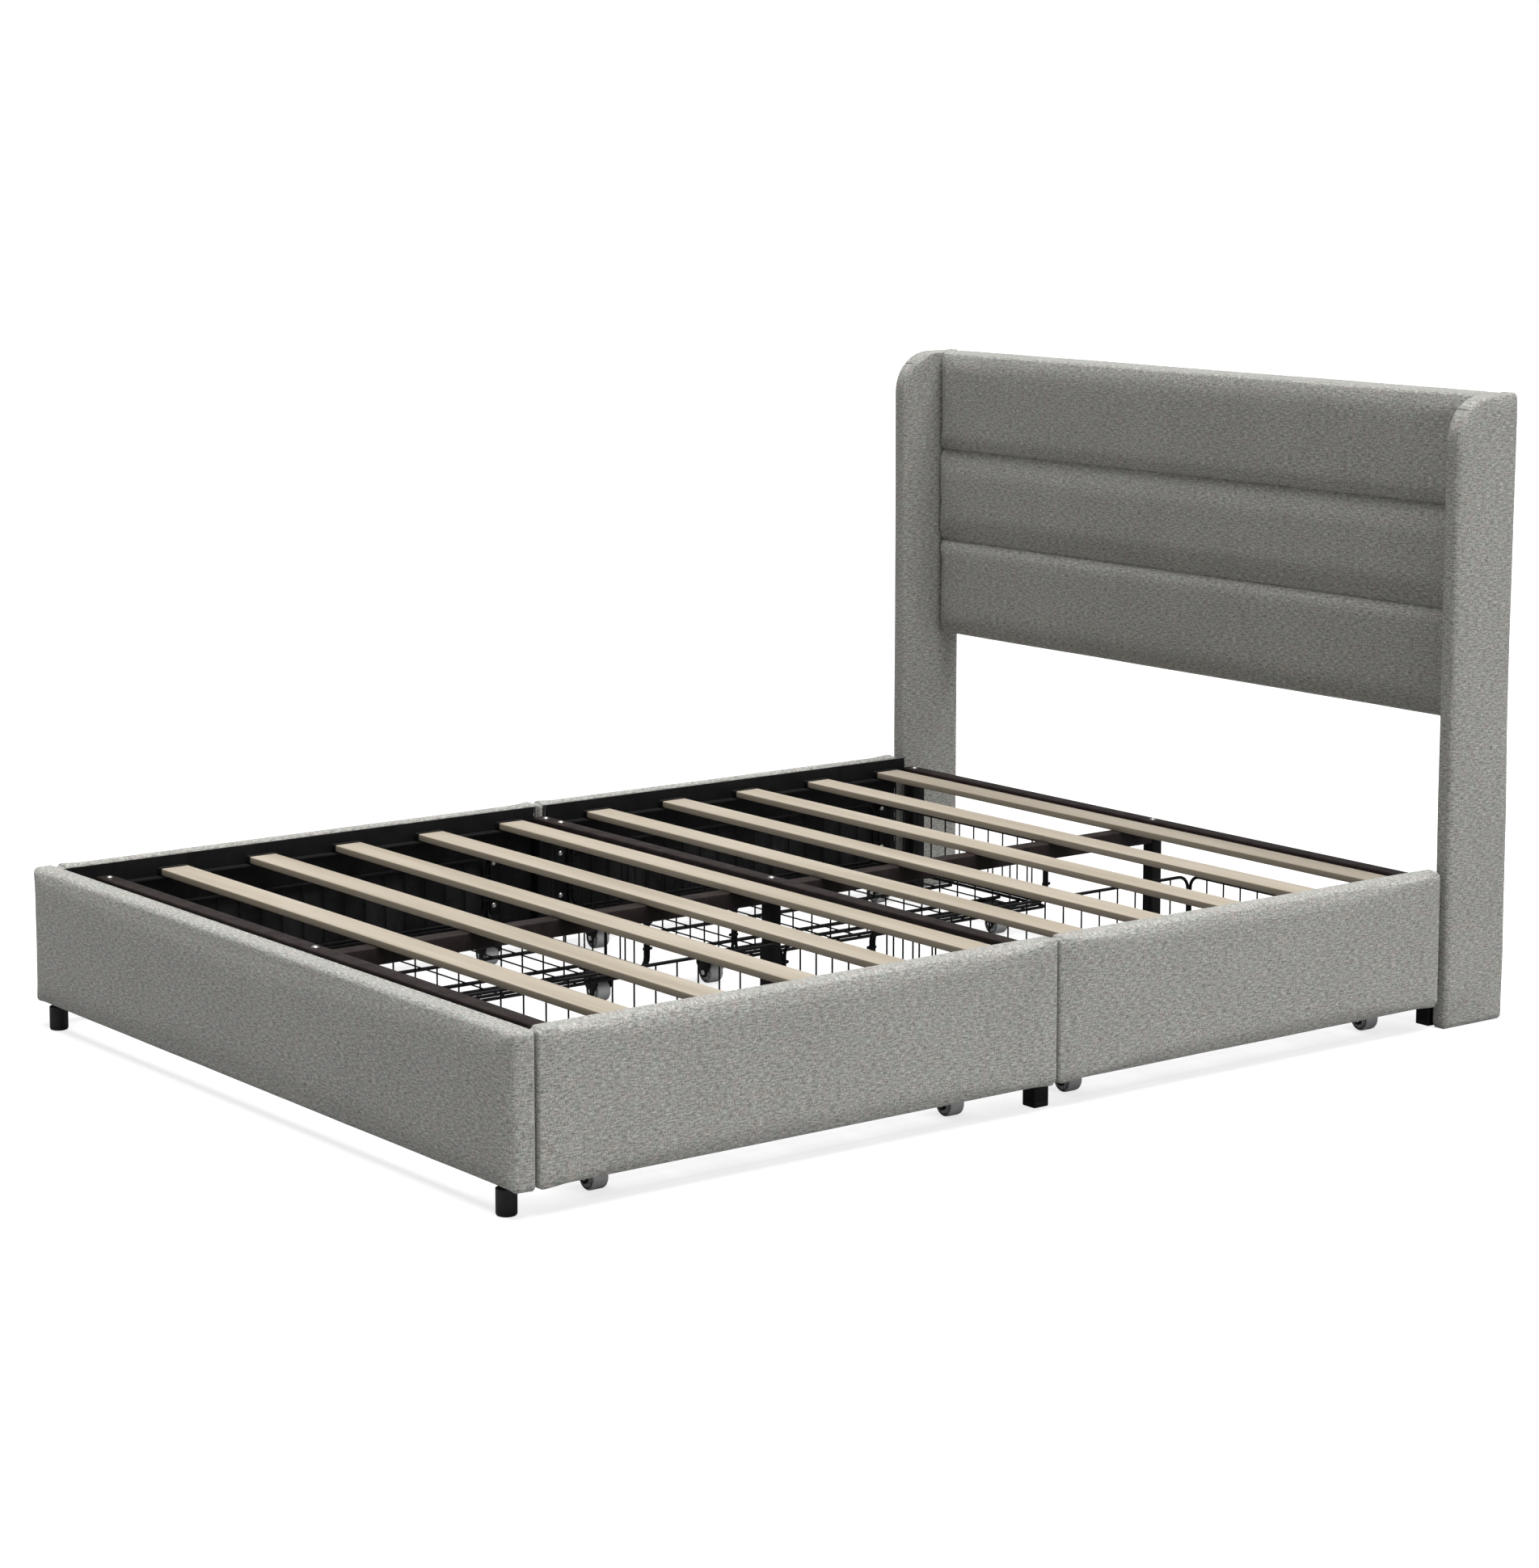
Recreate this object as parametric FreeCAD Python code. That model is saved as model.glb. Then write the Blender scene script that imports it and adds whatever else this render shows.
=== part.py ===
import FreeCAD, Part
import math
import os

# Upholstered platform bed with four roll-out wire drawers.
# Millimetres.  +Z is up, +Y runs from the footboard to the headboard, +X is the right-hand side.
# The origin is on the floor, under the centre of the bed's outer box.

V = FreeCAD.Vector

# --- Overall sizes -----------------------------------------------------------------------------
overall_width = 1482.0
overall_length = 2021.0
overall_height = 1074.0

# --- Upholstered panels ------------------------------------------------------------------------
wing_depth = 144.0
wing_thickness = 32.8
wing_corner_radius = 80.0
headboard_thickness = 56.5
headboard_bottom = 510.0
channel_seams = (700.0, 879.0)      # heights of the two sewn seams across the headboard
channel_relief = 12.0               # how far the three channels stand in front of their board
footboard_thickness = 38.0
panel_bottom = 40.0
panel_top = 276.0
front_thickness = 32.5
front_corner_radius = 13.0
padding_radius = 7.0                # soft edge round every padded panel
side_setback = 2.0                  # drawer fronts and footboard stand this far inside the wings
footboard_gap = 4.0                 # footboard to the first drawer front
front_gap = 3.0                     # between the two drawer fronts of one side
wing_gap = 10.0                     # last drawer front to the wing
fit_gap = 0.2                       # headboard and head bar between the wings
foot_front_length = 968.0

# --- Steel frame -------------------------------------------------------------------------------
rail_gap = 2.5                      # drawer fronts to the side rails
rail_wall = 2.0
rail_top = 270.0
ledge_width = 22.0
ledge_notch_gap = 0.5               # round the foot bar where it passes the ledge
bar_size = 30.0
bar_top = 250.0
bar_wall = 1.5
foot_bar_offset = 118.0             # footboard's outer face to the middle of the foot bar
head_bar_offset = 16.0              # wing's front face to the middle of the head bar
leg_size = 30.0
mid_leg_offset = 5.5                # middle side legs stand this far to the foot of their bar
centre_leg_size = 25.0
foot_pad = 3.0                      # closed foot of a square leg
round_leg_diameter = 31.5
round_leg_inset = 52.0              # end of the footboard to the middle of its leg

# --- Slats -------------------------------------------------------------------------------------
slats_per_bay = 5
slat_width = 52.0
slat_thickness = 12.0
slat_edge_radius = 2.0
slat_rise = 1.0                     # slats stand this far above the cross bars
foot_bay_margins = (129.5, 72.0)    # bar to first slat, last slat to bar, on their middles
head_bay_margins = (122.5, 67.0)
cap_wall = 1.5
cap_end = 2.0
cap_length = 12.0
slat_rebate = 1.0                   # taken off a slat's top where it enters its cap

# --- Fasteners ---------------------------------------------------------------------------------
bolt_diameter = 6.0
bolt_head_diameter = 12.0
bolt_head_height = 3.2
bolt_hole_gap = 0.2
bolt_reach = 8.0                    # below the bar
bolt_edge_inset = 19.0              # end of a bar to its bolt
bolt_pair_spacing = 49.0
screw_diameter = 4.0
screw_head_diameter = 9.0
screw_head_height = 2.6
screw_depth = 14.0
screw_hole_gap = 0.05
screw_heights = (97.0, 176.0)

# --- Drawers -----------------------------------------------------------------------------------
basket_depth = 513.0
basket_front_gap = 3.5              # basket's outer rods to the back of the drawer front
foot_basket_margin = 115.0          # end of the drawer front to the end of its basket
head_basket_margin = 58.0
basket_floor = 66.0
basket_top = 191.0
frame_rod = 6.0
wire_rod = 3.0
brace_rod = 7.0
rod_bend_radius = 22.0
floor_bend_radius = 14.0
wall_pitch = 43.0
floor_pitch = 50.0
weld_depth = 0.4
panel_clearance = 0.5               # between the five wire panels of a basket
bracket_thickness = 2.0
bracket_leg = 26.0
bracket_reach = 12.0
bracket_heights = (84.0, 189.0)
screw_outset = 14.0                 # basket's end rod to the bracket's screws

# --- Casters -----------------------------------------------------------------------------------
wheel_diameter = 40.0
wheel_width = 28.0
wheel_edge_radius = 3.0
wheel_recess = 1.5
wheel_hub_diameter = 16.0
axle_diameter = 6.0
axle_gap = 0.05
rivet_diameter = 10.0
rivet_height = 1.6
fork_gap = 1.0                      # wheel to each cheek
fork_wall = 2.5
fork_width = 26.0
plate_length = 68.0
plate_width = 42.0
plate_thickness = 3.0
caster_end_inset = 34.0             # end of the basket to the middle of a wheel
outer_caster_inset = 49.0           # basket's outer rods to the middle of a wheel
inner_caster_inset = 110.0          # basket's inner rods to the middle of a wheel
brace_half_spacing = 27.5           # wheel to each of its two braces
middle_brace_inset = 280.0          # basket's inner rods to the single brace

# --- Places that follow ------------------------------------------------------------------------
half_width = overall_width / 2
foot_face = -overall_length / 2
head_face = overall_length / 2
wing_inner = half_width - wing_thickness
wing_front = head_face - wing_depth
front_outer = half_width - side_setback
front_inner = front_outer - front_thickness
foot_front = (foot_face + footboard_thickness + footboard_gap,
              foot_face + footboard_thickness + footboard_gap + foot_front_length)
head_front = (foot_front[1] + front_gap, wing_front - wing_gap)

rail_outer = front_inner - rail_gap
rail_inner = rail_outer - rail_wall
bar_bottom = bar_top - bar_size
slat_end = rail_inner - cap_end
cap_mouth = rail_inner - cap_length
foot_bar = foot_face + foot_bar_offset
mid_bar = foot_front[1] + front_gap / 2
head_bar = wing_front + head_bar_offset
slat_top = bar_top + slat_rise
slat_bottom = slat_top - slat_thickness
ledge_top = slat_bottom - cap_wall
beam_top = slat_bottom

basket_outer = front_inner - basket_front_gap
basket_inner = basket_outer - basket_depth
foot_basket = (foot_front[0] + foot_basket_margin, foot_front[1] - foot_basket_margin)
head_basket = (head_front[0] + head_basket_margin, head_front[1] - head_basket_margin)
wheel_radius = wheel_diameter / 2
brace_height = basket_floor - (wire_rod + brace_rod) / 2 + weld_depth
plate_top = brace_height - brace_rod / 2


# --- Shapes ------------------------------------------------------------------------------------
def box(x0, x1, y0, y1, z0, z1):
    return Part.makeBox(x1 - x0, y1 - y0, z1 - z0, V(x0, y0, z0))


def mirrored(shape):
    """The same piece on the left-hand side."""
    return shape.mirror(V(0, 0, 0), V(1, 0, 0))


def sided(shape, side):
    return shape if side > 0 else mirrored(shape)


def export(name, *solids):
    shape = solids[0] if len(solids) == 1 else Part.makeCompound(list(solids))
    shape.exportStep("parts/" + name + ".step")


def rod(start, end, diameter):
    return Part.makeCylinder(diameter / 2, (end - start).Length, start, end - start)


def corner_arc(centre, radius, start_angle, end_angle, x):
    """An arc in the plane X = x; angles in degrees from +Y towards +Z."""
    y, z = centre
    angles = (start_angle, (start_angle + end_angle) / 2, end_angle)
    points = [V(x, y + radius * math.cos(math.radians(a)), z + radius * math.sin(math.radians(a)))
              for a in angles]
    return Part.Arc(*points).toShape()


def padded_panel(x0, x1, y0, y1, z0, z1, corners):
    """A panel in the YZ plane; corners are the radii at foot-bottom, head-bottom, head-top and
    foot-top; the long edges of both faces are softened by the padding."""
    low_foot, low_head, top_head, top_foot = corners
    centres = (((y0 + low_foot, z0 + low_foot), low_foot, 180, 270),
               ((y1 - low_head, z0 + low_head), low_head, 270, 360),
               ((y1 - top_head, z1 - top_head), top_head, 0, 90),
               ((y0 + top_foot, z1 - top_foot), top_foot, 90, 180))
    arcs = [corner_arc(centre, radius, start, end, x0) for centre, radius, start, end in centres]
    edges = []
    for index, arc in enumerate(arcs):
        following = arcs[(index + 1) % len(arcs)]
        edges.append(arc)
        edges.append(Part.LineSegment(arc.Vertexes[-1].Point, following.Vertexes[0].Point).toShape())
    face = Part.Face(Part.Wire(edges))
    solid = face.extrude(V(x1 - x0, 0, 0))
    rim = [edge for edge in solid.Edges
           if all(abs(vertex.X - x0) < 1e-6 for vertex in edge.Vertexes)
           or all(abs(vertex.X - x1) < 1e-6 for vertex in edge.Vertexes)]
    return solid.makeFillet(min(padding_radius, (x1 - x0) / 2 - 1), rim)


def softened_box(x0, x1, y0, y1, z0, z1, radius):
    solid = box(x0, x1, y0, y1, z0, z1)
    return solid.makeFillet(radius, solid.Edges)


def square_tube(x0, x1, y0, y1, z0, z1, along, closed_foot=0.0):
    """A square tube whose bore runs along X, Y or Z; closed_foot leaves a floor in a leg."""
    outer = box(x0, x1, y0, y1, z0, z1)
    lows = [x0 + bar_wall, y0 + bar_wall, z0 + bar_wall]
    highs = [x1 - bar_wall, y1 - bar_wall, z1 - bar_wall]
    axis = "XYZ".index(along)
    lows[axis] = (x0, y0, z0)[axis] + (closed_foot if closed_foot else -1)
    highs[axis] = (x1, y1, z1)[axis] + 1
    return outer.cut(box(lows[0], highs[0], lows[1], highs[1], lows[2], highs[2]))


def screw(head_centre, direction, diameter, head_diameter, head_height, length):
    """A round-headed screw: its head stands on head_centre's surface, against direction."""
    shank = Part.makeCylinder(diameter / 2, length, head_centre, direction)
    head = Part.makeCylinder(head_diameter / 2, head_height, head_centre, direction * -1)
    crown = [edge for edge in head.Edges
             if abs((edge.CenterOfMass - head_centre).dot(direction) + head_height) < 1e-6]
    return head.makeFillet(head_height * 0.6, crown).fuse(shank).removeSplitter()


# --- Headboard, wings and footboard ------------------------------------------------------------
def wing():
    corners = (padding_radius, padding_radius, padding_radius, wing_corner_radius)
    return padded_panel(wing_inner, half_width, wing_front, head_face, 0, overall_height, corners)


def headboard():
    """A board with three padded channels that swell between the seams."""
    half = wing_inner - fit_gap
    front = head_face - headboard_thickness
    board = box(-half, half, front + channel_relief, head_face, headboard_bottom, overall_height)
    heights = (headboard_bottom,) + channel_seams + (overall_height,)
    channels = []
    for low, high in zip(heights, heights[1:]):
        channel = box(-half, half, front, front + 2 * channel_relief, low, high)
        long_edges = [edge for edge in channel.Edges
                      if all(abs(vertex.Y - front) < 1e-6 for vertex in edge.Vertexes)
                      and abs(edge.Vertexes[0].Z - edge.Vertexes[1].Z) < 1e-6]
        channels.append(channel.makeFillet(channel_relief * 0.8, long_edges))
    return board.multiFuse(channels).removeSplitter()


def footboard():
    return softened_box(-front_outer, front_outer, foot_face, foot_face + footboard_thickness,
                        panel_bottom, panel_top, padding_radius)


def footboard_legs():
    middle = foot_face + footboard_thickness / 2
    offset = front_outer - round_leg_inset
    return [Part.makeCylinder(round_leg_diameter / 2, panel_bottom, V(side * offset, middle, 0))
            for side in (-1, 1)]


# --- Steel frame -------------------------------------------------------------------------------
def side_rail(y0, y1, notch_at=None):
    flange = box(rail_inner, rail_outer, y0, y1, ledge_top - rail_wall, rail_top)
    ledge = box(rail_outer - ledge_width, rail_outer, y0, y1, ledge_top - rail_wall, ledge_top)
    rail = flange.fuse(ledge).removeSplitter()
    if notch_at is None:
        return rail
    half = bar_size / 2 + ledge_notch_gap
    return rail.cut(box(0, rail_inner, notch_at - half, notch_at + half, 0, rail_top))


def bolt_places(middle, half_length, pair):
    """Bolts along a cross bar: one in the middle and one or two at each end."""
    places = [V(0, middle, bar_top)]
    for side in (-1, 1):
        places.append(V(side * (half_length - bolt_edge_inset), middle, bar_top))
        if pair:
            inner = half_length - bolt_edge_inset - bolt_pair_spacing
            places.append(V(side * inner, middle, bar_top))
    return places


def cross_bar(middle, half_length, pair=False):
    bar = square_tube(-half_length, half_length, middle - bar_size / 2, middle + bar_size / 2,
                      bar_bottom, bar_top, "X")
    drill = bolt_diameter / 2 + bolt_hole_gap
    holes = [Part.makeCylinder(drill, bar_size + 2, place - V(0, 0, bar_size + 1))
             for place in bolt_places(middle, half_length, pair)]
    return bar.cut(Part.makeCompound(holes))


def bolts_for(middle, half_length, pair=False):
    length = bar_size + bolt_reach
    return [screw(place, V(0, 0, -1), bolt_diameter, bolt_head_diameter, bolt_head_height, length)
            for place in bolt_places(middle, half_length, pair)]


def centre_beam(y0, y1):
    half = bar_size / 2
    return square_tube(-half, half, y0, y1, beam_top - bar_size, beam_top, "Y")


def centre_leg(middle):
    half = centre_leg_size / 2
    return square_tube(-half, half, middle - half, middle + half, 0, bar_bottom, "Z", foot_pad)


def side_leg(middle):
    half = leg_size / 2
    return square_tube(rail_outer - leg_size, rail_outer, middle - half, middle + half,
                       0, bar_bottom, "Z", foot_pad)


# --- Slats -------------------------------------------------------------------------------------
def slat_places():
    places = []
    for start, end, margins in ((foot_bar, mid_bar, foot_bay_margins),
                                (mid_bar, head_bar, head_bay_margins)):
        first = start + margins[0]
        pitch = (end - margins[1] - first) / (slats_per_bay - 1)
        places += [first + index * pitch for index in range(slats_per_bay)]
    return places


def slat(middle):
    half = slat_width / 2
    board = box(-slat_end, slat_end, middle - half, middle + half, slat_bottom, slat_top)
    long_edges = [edge for edge in board.Edges
                  if abs(edge.Vertexes[0].X - edge.Vertexes[1].X) > 1]
    board = board.makeFillet(slat_edge_radius, long_edges)
    rebate = box(cap_mouth, slat_end, middle - half, middle + half,
                 slat_top - slat_rebate, slat_top)
    return board.cut(rebate).cut(mirrored(rebate))


def slat_cap(middle):
    """A plastic sleeve, closed against the rail, that holds one end of a slat."""
    half = slat_width / 2
    sleeve = box(cap_mouth, rail_inner, middle - half - cap_wall, middle + half + cap_wall,
                 ledge_top, slat_top + cap_wall)
    return sleeve.cut(box(0, slat_end, middle - half, middle + half, slat_bottom,
                          slat_top - slat_rebate))


# --- Wire baskets ------------------------------------------------------------------------------
def rounded_loop(length, height, bend, diameter):
    """A rod bent into a rounded rectangle in the local XY plane, centred on its middle line."""
    straight_x = length / 2 - bend
    straight_y = height / 2 - bend
    pieces = []
    for side in (-1, 1):
        pieces.append(rod(V(-straight_x, side * height / 2, 0),
                          V(straight_x, side * height / 2, 0), diameter))
        pieces.append(rod(V(side * length / 2, -straight_y, 0),
                          V(side * length / 2, straight_y, 0), diameter))
    for turn, (side_x, side_y) in enumerate(((1, 1), (-1, 1), (-1, -1), (1, -1))):
        bent = Part.makeTorus(bend, diameter / 2, V(0, 0, 0), V(0, 0, 1), 0, 360, 90)
        bent.rotate(V(0, 0, 0), V(0, 0, 1), 90 * turn)
        bent.translate(V(side_x * straight_x, side_y * straight_y, 0))
        pieces.append(bent)
    return pieces


def spread(length, pitch):
    """Evenly spaced places between two end rods, near the wanted pitch."""
    spaces = max(2, round(length / pitch))
    return [-length / 2 + length * index / spaces for index in range(1, spaces)]


def wall_panel(length, height):
    """One wall: a bent frame rod with thin upright wires, in the local XY plane, +Y up."""
    pieces = rounded_loop(length, height, rod_bend_radius, frame_rod)
    limit = length / 2 - rod_bend_radius
    uprights = [x for x in spread(length, wall_pitch) if abs(x) < limit]
    pieces += [rod(V(x, -height / 2, 0), V(x, height / 2, 0), wire_rod) for x in uprights]
    return pieces[0].multiFuse(pieces[1:]).removeSplitter()


def floor_panel(y0, y1):
    """The basket's floor: a frame rod, cross wires and, under them, the braces for the casters."""
    depth = basket_outer - basket_inner - frame_rod
    length = y1 - y0 - frame_rod
    pieces = rounded_loop(depth, length, floor_bend_radius, frame_rod)
    limit = length / 2 - floor_bend_radius
    pieces += [rod(V(-depth / 2, y, 0), V(depth / 2, y, 0), wire_rod)
               for y in spread(length, floor_pitch) if abs(y) < limit]
    drop = brace_height - basket_floor
    reach = length / 2 + weld_depth
    for place in brace_places():
        x = place - (basket_outer + basket_inner) / 2
        pieces.append(rod(V(x, -reach, drop), V(x, reach, drop), brace_rod))
    panel = pieces[0].multiFuse(pieces[1:]).removeSplitter()
    panel.translate(V((basket_outer + basket_inner) / 2, (y0 + y1) / 2, basket_floor))
    return panel


def caster_columns():
    return (basket_inner + inner_caster_inset, basket_outer - outer_caster_inset)


def caster_rows(y0, y1):
    return (y0 + caster_end_inset, y1 - caster_end_inset)


def brace_places():
    places = [basket_inner + middle_brace_inset]
    for column in caster_columns():
        places += [column - brace_half_spacing, column + brace_half_spacing]
    return places


def basket(y0, y1):
    """Five wire panels: a floor, two ends and, between the ends, the inner and outer walls."""
    low = basket_floor + frame_rod + panel_clearance
    height = basket_top - frame_rod / 2 - low
    middle_z = low + height / 2
    upright = FreeCAD.Rotation(V(1, 0, 0), 90)
    across = FreeCAD.Rotation(V(0, 0, 1), 90).multiply(upright)
    end = wall_panel(basket_outer - basket_inner - frame_rod, height)
    side = wall_panel(y1 - y0 - 3 * frame_rod - 2 * panel_clearance, height)
    solids = [floor_panel(y0, y1)]
    for y in (y0 + frame_rod / 2, y1 - frame_rod / 2):
        panel = end.copy()
        panel.Placement = FreeCAD.Placement(V((basket_outer + basket_inner) / 2, y, middle_z), upright)
        solids.append(panel)
    for x in (basket_inner + frame_rod / 2, basket_outer - frame_rod / 2):
        panel = side.copy()
        panel.Placement = FreeCAD.Placement(V(x, (y0 + y1) / 2, middle_z), across)
        solids.append(panel)
    return solids


# --- Drawer fixings and casters ----------------------------------------------------------------
def fixing_screws(y0, y1):
    """Places of the screws that hold a basket's brackets to its front."""
    return [V(front_inner - bracket_thickness, y, z)
            for y in (y0 - screw_outset, y1 + screw_outset) for z in screw_heights]


def drawer_front(front_span, basket_span):
    corners = (front_corner_radius,) * 4
    panel = padded_panel(front_inner, front_outer, *front_span, panel_bottom, panel_top, corners)
    radius = screw_diameter / 2 + screw_hole_gap
    holes = [Part.makeCylinder(radius, screw_depth + 1, place, V(1, 0, 0))
             for place in fixing_screws(*basket_span)]
    return panel.cut(Part.makeCompound(holes))


def drawer_fixings(y0, y1):
    """Two angle brackets that join the basket to the front, each with two screws."""
    low, high = bracket_heights
    solids = []
    for end, outward in ((y0, -1), (y1, 1)):
        ys = sorted((end, end + outward * bracket_leg))
        lip = sorted((end, end + outward * bracket_thickness))
        plate = box(front_inner - bracket_thickness, front_inner, ys[0], ys[1], low, high)
        flange = box(front_inner - bracket_reach, front_inner, lip[0], lip[1], low, high)
        solids.append(plate.fuse(flange).removeSplitter())
    places = fixing_screws(y0, y1)
    radius = screw_diameter / 2 + screw_hole_gap
    holes = Part.makeCompound([Part.makeCylinder(radius, 6, place - V(1, 0, 0), V(1, 0, 0))
                               for place in places])
    screws = [screw(place, V(1, 0, 0), screw_diameter, screw_head_diameter, screw_head_height,
                    screw_depth) for place in places]
    return [solid.cut(holes) for solid in solids] + screws


def fork(x, y):
    """A fixed caster fork: a plate under two braces and two cheeks beside the wheel."""
    inner = wheel_width / 2 + fork_gap
    plate = box(x - plate_length / 2, x + plate_length / 2, y - plate_width / 2,
                y + plate_width / 2, plate_top - plate_thickness, plate_top)
    cheeks = []
    for side in (-1, 1):
        ys = sorted((y + side * inner, y + side * (inner + fork_wall)))
        upper = box(x - fork_width / 2, x + fork_width / 2, ys[0], ys[1], wheel_radius,
                    plate_top - plate_thickness)
        round_end = Part.makeCylinder(fork_width / 2, fork_wall, V(x, ys[0], wheel_radius),
                                      V(0, 1, 0))
        cheeks += [upper, round_end]
    bore = Part.makeCylinder(axle_diameter / 2 + axle_gap, 4 * inner, V(x, y - 2 * inner, wheel_radius),
                             V(0, 1, 0))
    return plate.multiFuse(cheeks).removeSplitter().cut(bore)


def axle(x, y):
    """A riveted pin through both cheeks."""
    half = wheel_width / 2 + fork_gap + fork_wall
    start = V(x, y - half - rivet_height, wheel_radius)
    pin = rod(start, V(x, y + half + rivet_height, wheel_radius), axle_diameter)
    heads = [Part.makeCylinder(rivet_diameter / 2, rivet_height, start, V(0, 1, 0)),
             Part.makeCylinder(rivet_diameter / 2, rivet_height, V(x, y + half, wheel_radius),
                               V(0, 1, 0))]
    return pin.multiFuse(heads).removeSplitter()


def wheel(x, y):
    """A roller with a rounded tread, dished sides and a hub that turns on the axle."""
    start = V(x, y - wheel_width / 2, wheel_radius)
    body = Part.makeCylinder(wheel_radius, wheel_width, start, V(0, 1, 0))
    shoulders = [edge for edge in body.Edges if len(edge.Vertexes) == 1]
    body = body.makeFillet(wheel_edge_radius, shoulders)
    dish_radius = wheel_radius - 2 * wheel_edge_radius
    dishes = []
    for y0 in (start.y - 1, start.y + wheel_width - wheel_recess):
        place = V(x, y0, wheel_radius)
        dish = Part.makeCylinder(dish_radius, wheel_recess + 1, place, V(0, 1, 0))
        hub = Part.makeCylinder(wheel_hub_diameter / 2, wheel_recess + 1, place, V(0, 1, 0))
        dishes.append(dish.cut(hub))
    bore = Part.makeCylinder(axle_diameter / 2 + axle_gap, wheel_width + 2,
                             V(x, start.y - 1, wheel_radius), V(0, 1, 0))
    return body.cut(Part.makeCompound(dishes)).cut(bore)


# --- The bed -----------------------------------------------------------------------------------
def export_frame():
    export("headboard_panel", headboard())
    export("right_wing", wing())
    export("left_wing", mirrored(wing()))
    export("footboard", footboard())
    export("footboard_legs", *footboard_legs())

    half = bar_size / 2
    foot_rail = side_rail(foot_face + footboard_thickness, mid_bar - half, foot_bar)
    head_rail = side_rail(mid_bar + half, head_bar - half)
    for side, word in ((1, "right"), (-1, "left")):
        export(word + "_foot_rail", sided(foot_rail, side))
        export(word + "_head_rail", sided(head_rail, side))

    head_half = wing_inner - fit_gap
    export("foot_crossbar", cross_bar(foot_bar, rail_inner))
    export("mid_crossbar", cross_bar(mid_bar, rail_outer, pair=True))
    export("head_crossbar", cross_bar(head_bar, head_half))
    export("frame_bolts", *(bolts_for(foot_bar, rail_inner) + bolts_for(mid_bar, rail_outer, True)
                            + bolts_for(head_bar, head_half)))
    export("foot_centre_beam", centre_beam(foot_bar + half, mid_bar - half))
    export("head_centre_beam", centre_beam(mid_bar + half, head_bar - half))
    export("centre_legs", *[centre_leg(middle) for middle in (foot_bar, mid_bar, head_bar)])

    legs = [side_leg(middle) for middle in (mid_bar - mid_leg_offset, head_bar)]
    export("side_legs", *[sided(leg, side) for leg in legs for side in (1, -1)])


def export_slats():
    caps = []
    for number, middle in enumerate(slat_places(), start=1):
        export("slat_%02d" % number, slat(middle))
        cap = slat_cap(middle)
        caps += [cap, mirrored(cap)]
    export("slat_end_caps", *caps)


def export_drawer(name, side, front_span, basket_span):
    export(name + "_drawer_front", sided(drawer_front(front_span, basket_span), side))
    export(name + "_basket", *[sided(panel, side) for panel in basket(*basket_span)])
    export(name + "_basket_brackets", *[sided(piece, side) for piece in drawer_fixings(*basket_span)])
    forks = []
    wheels = {}
    for row, y in zip(("foot", "head"), caster_rows(*basket_span)):
        for column, x in zip(("inner", "outer"), caster_columns()):
            forks += [sided(fork(x, y), side), sided(axle(x, y), side)]
            wheels[row + "_" + column] = sided(wheel(x, y), side)
    export(name + "_caster_forks", *forks)
    for place, solid in wheels.items():
        export(name + "_wheel_" + place, solid)


os.makedirs("parts", exist_ok=True)
export_frame()
export_slats()
for side_word, side_sign in (("right", 1), ("left", -1)):
    export_drawer(side_word + "_foot", side_sign, foot_front, foot_basket)
    export_drawer(side_word + "_head", side_sign, head_front, head_basket)
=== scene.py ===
import math

import bmesh
import bpy
from mathutils import Euler, Matrix, Vector, noise


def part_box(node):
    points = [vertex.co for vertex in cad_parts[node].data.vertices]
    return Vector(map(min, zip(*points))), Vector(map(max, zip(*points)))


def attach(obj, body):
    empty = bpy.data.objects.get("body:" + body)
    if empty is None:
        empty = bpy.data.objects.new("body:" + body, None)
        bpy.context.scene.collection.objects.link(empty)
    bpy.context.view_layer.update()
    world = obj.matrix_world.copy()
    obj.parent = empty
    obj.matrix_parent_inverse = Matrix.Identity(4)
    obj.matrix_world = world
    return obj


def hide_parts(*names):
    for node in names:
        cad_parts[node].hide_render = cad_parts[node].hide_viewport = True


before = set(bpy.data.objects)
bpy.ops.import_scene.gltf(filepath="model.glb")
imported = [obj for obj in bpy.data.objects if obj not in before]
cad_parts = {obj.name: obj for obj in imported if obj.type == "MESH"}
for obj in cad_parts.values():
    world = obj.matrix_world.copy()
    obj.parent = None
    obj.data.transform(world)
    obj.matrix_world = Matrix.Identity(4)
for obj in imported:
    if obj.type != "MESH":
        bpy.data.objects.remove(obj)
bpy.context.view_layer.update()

# Looks of the upholstered platform bed.  Metres, in the same frame as the CAD model:
# +X is the right-hand side, +Y runs from the footboard to the headboard, +Z is up.

MM = 0.001

SIDES = {"right": 1, "left": -1}
ENDS = ("foot", "head")
QUARTERS = {side + "_" + end: SIDES[side] for side in SIDES for end in ENDS}   # a drawer in each
WHEELS = [row + "_" + column for row in ENDS for column in ("inner", "outer")]
SLATS = ["slat_%02d" % number for number in range(1, 11)]
CROSSBARS = ("foot_crossbar", "mid_crossbar", "head_crossbar")
CENTRE_BEAMS = ("foot_centre_beam", "head_centre_beam")

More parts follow.
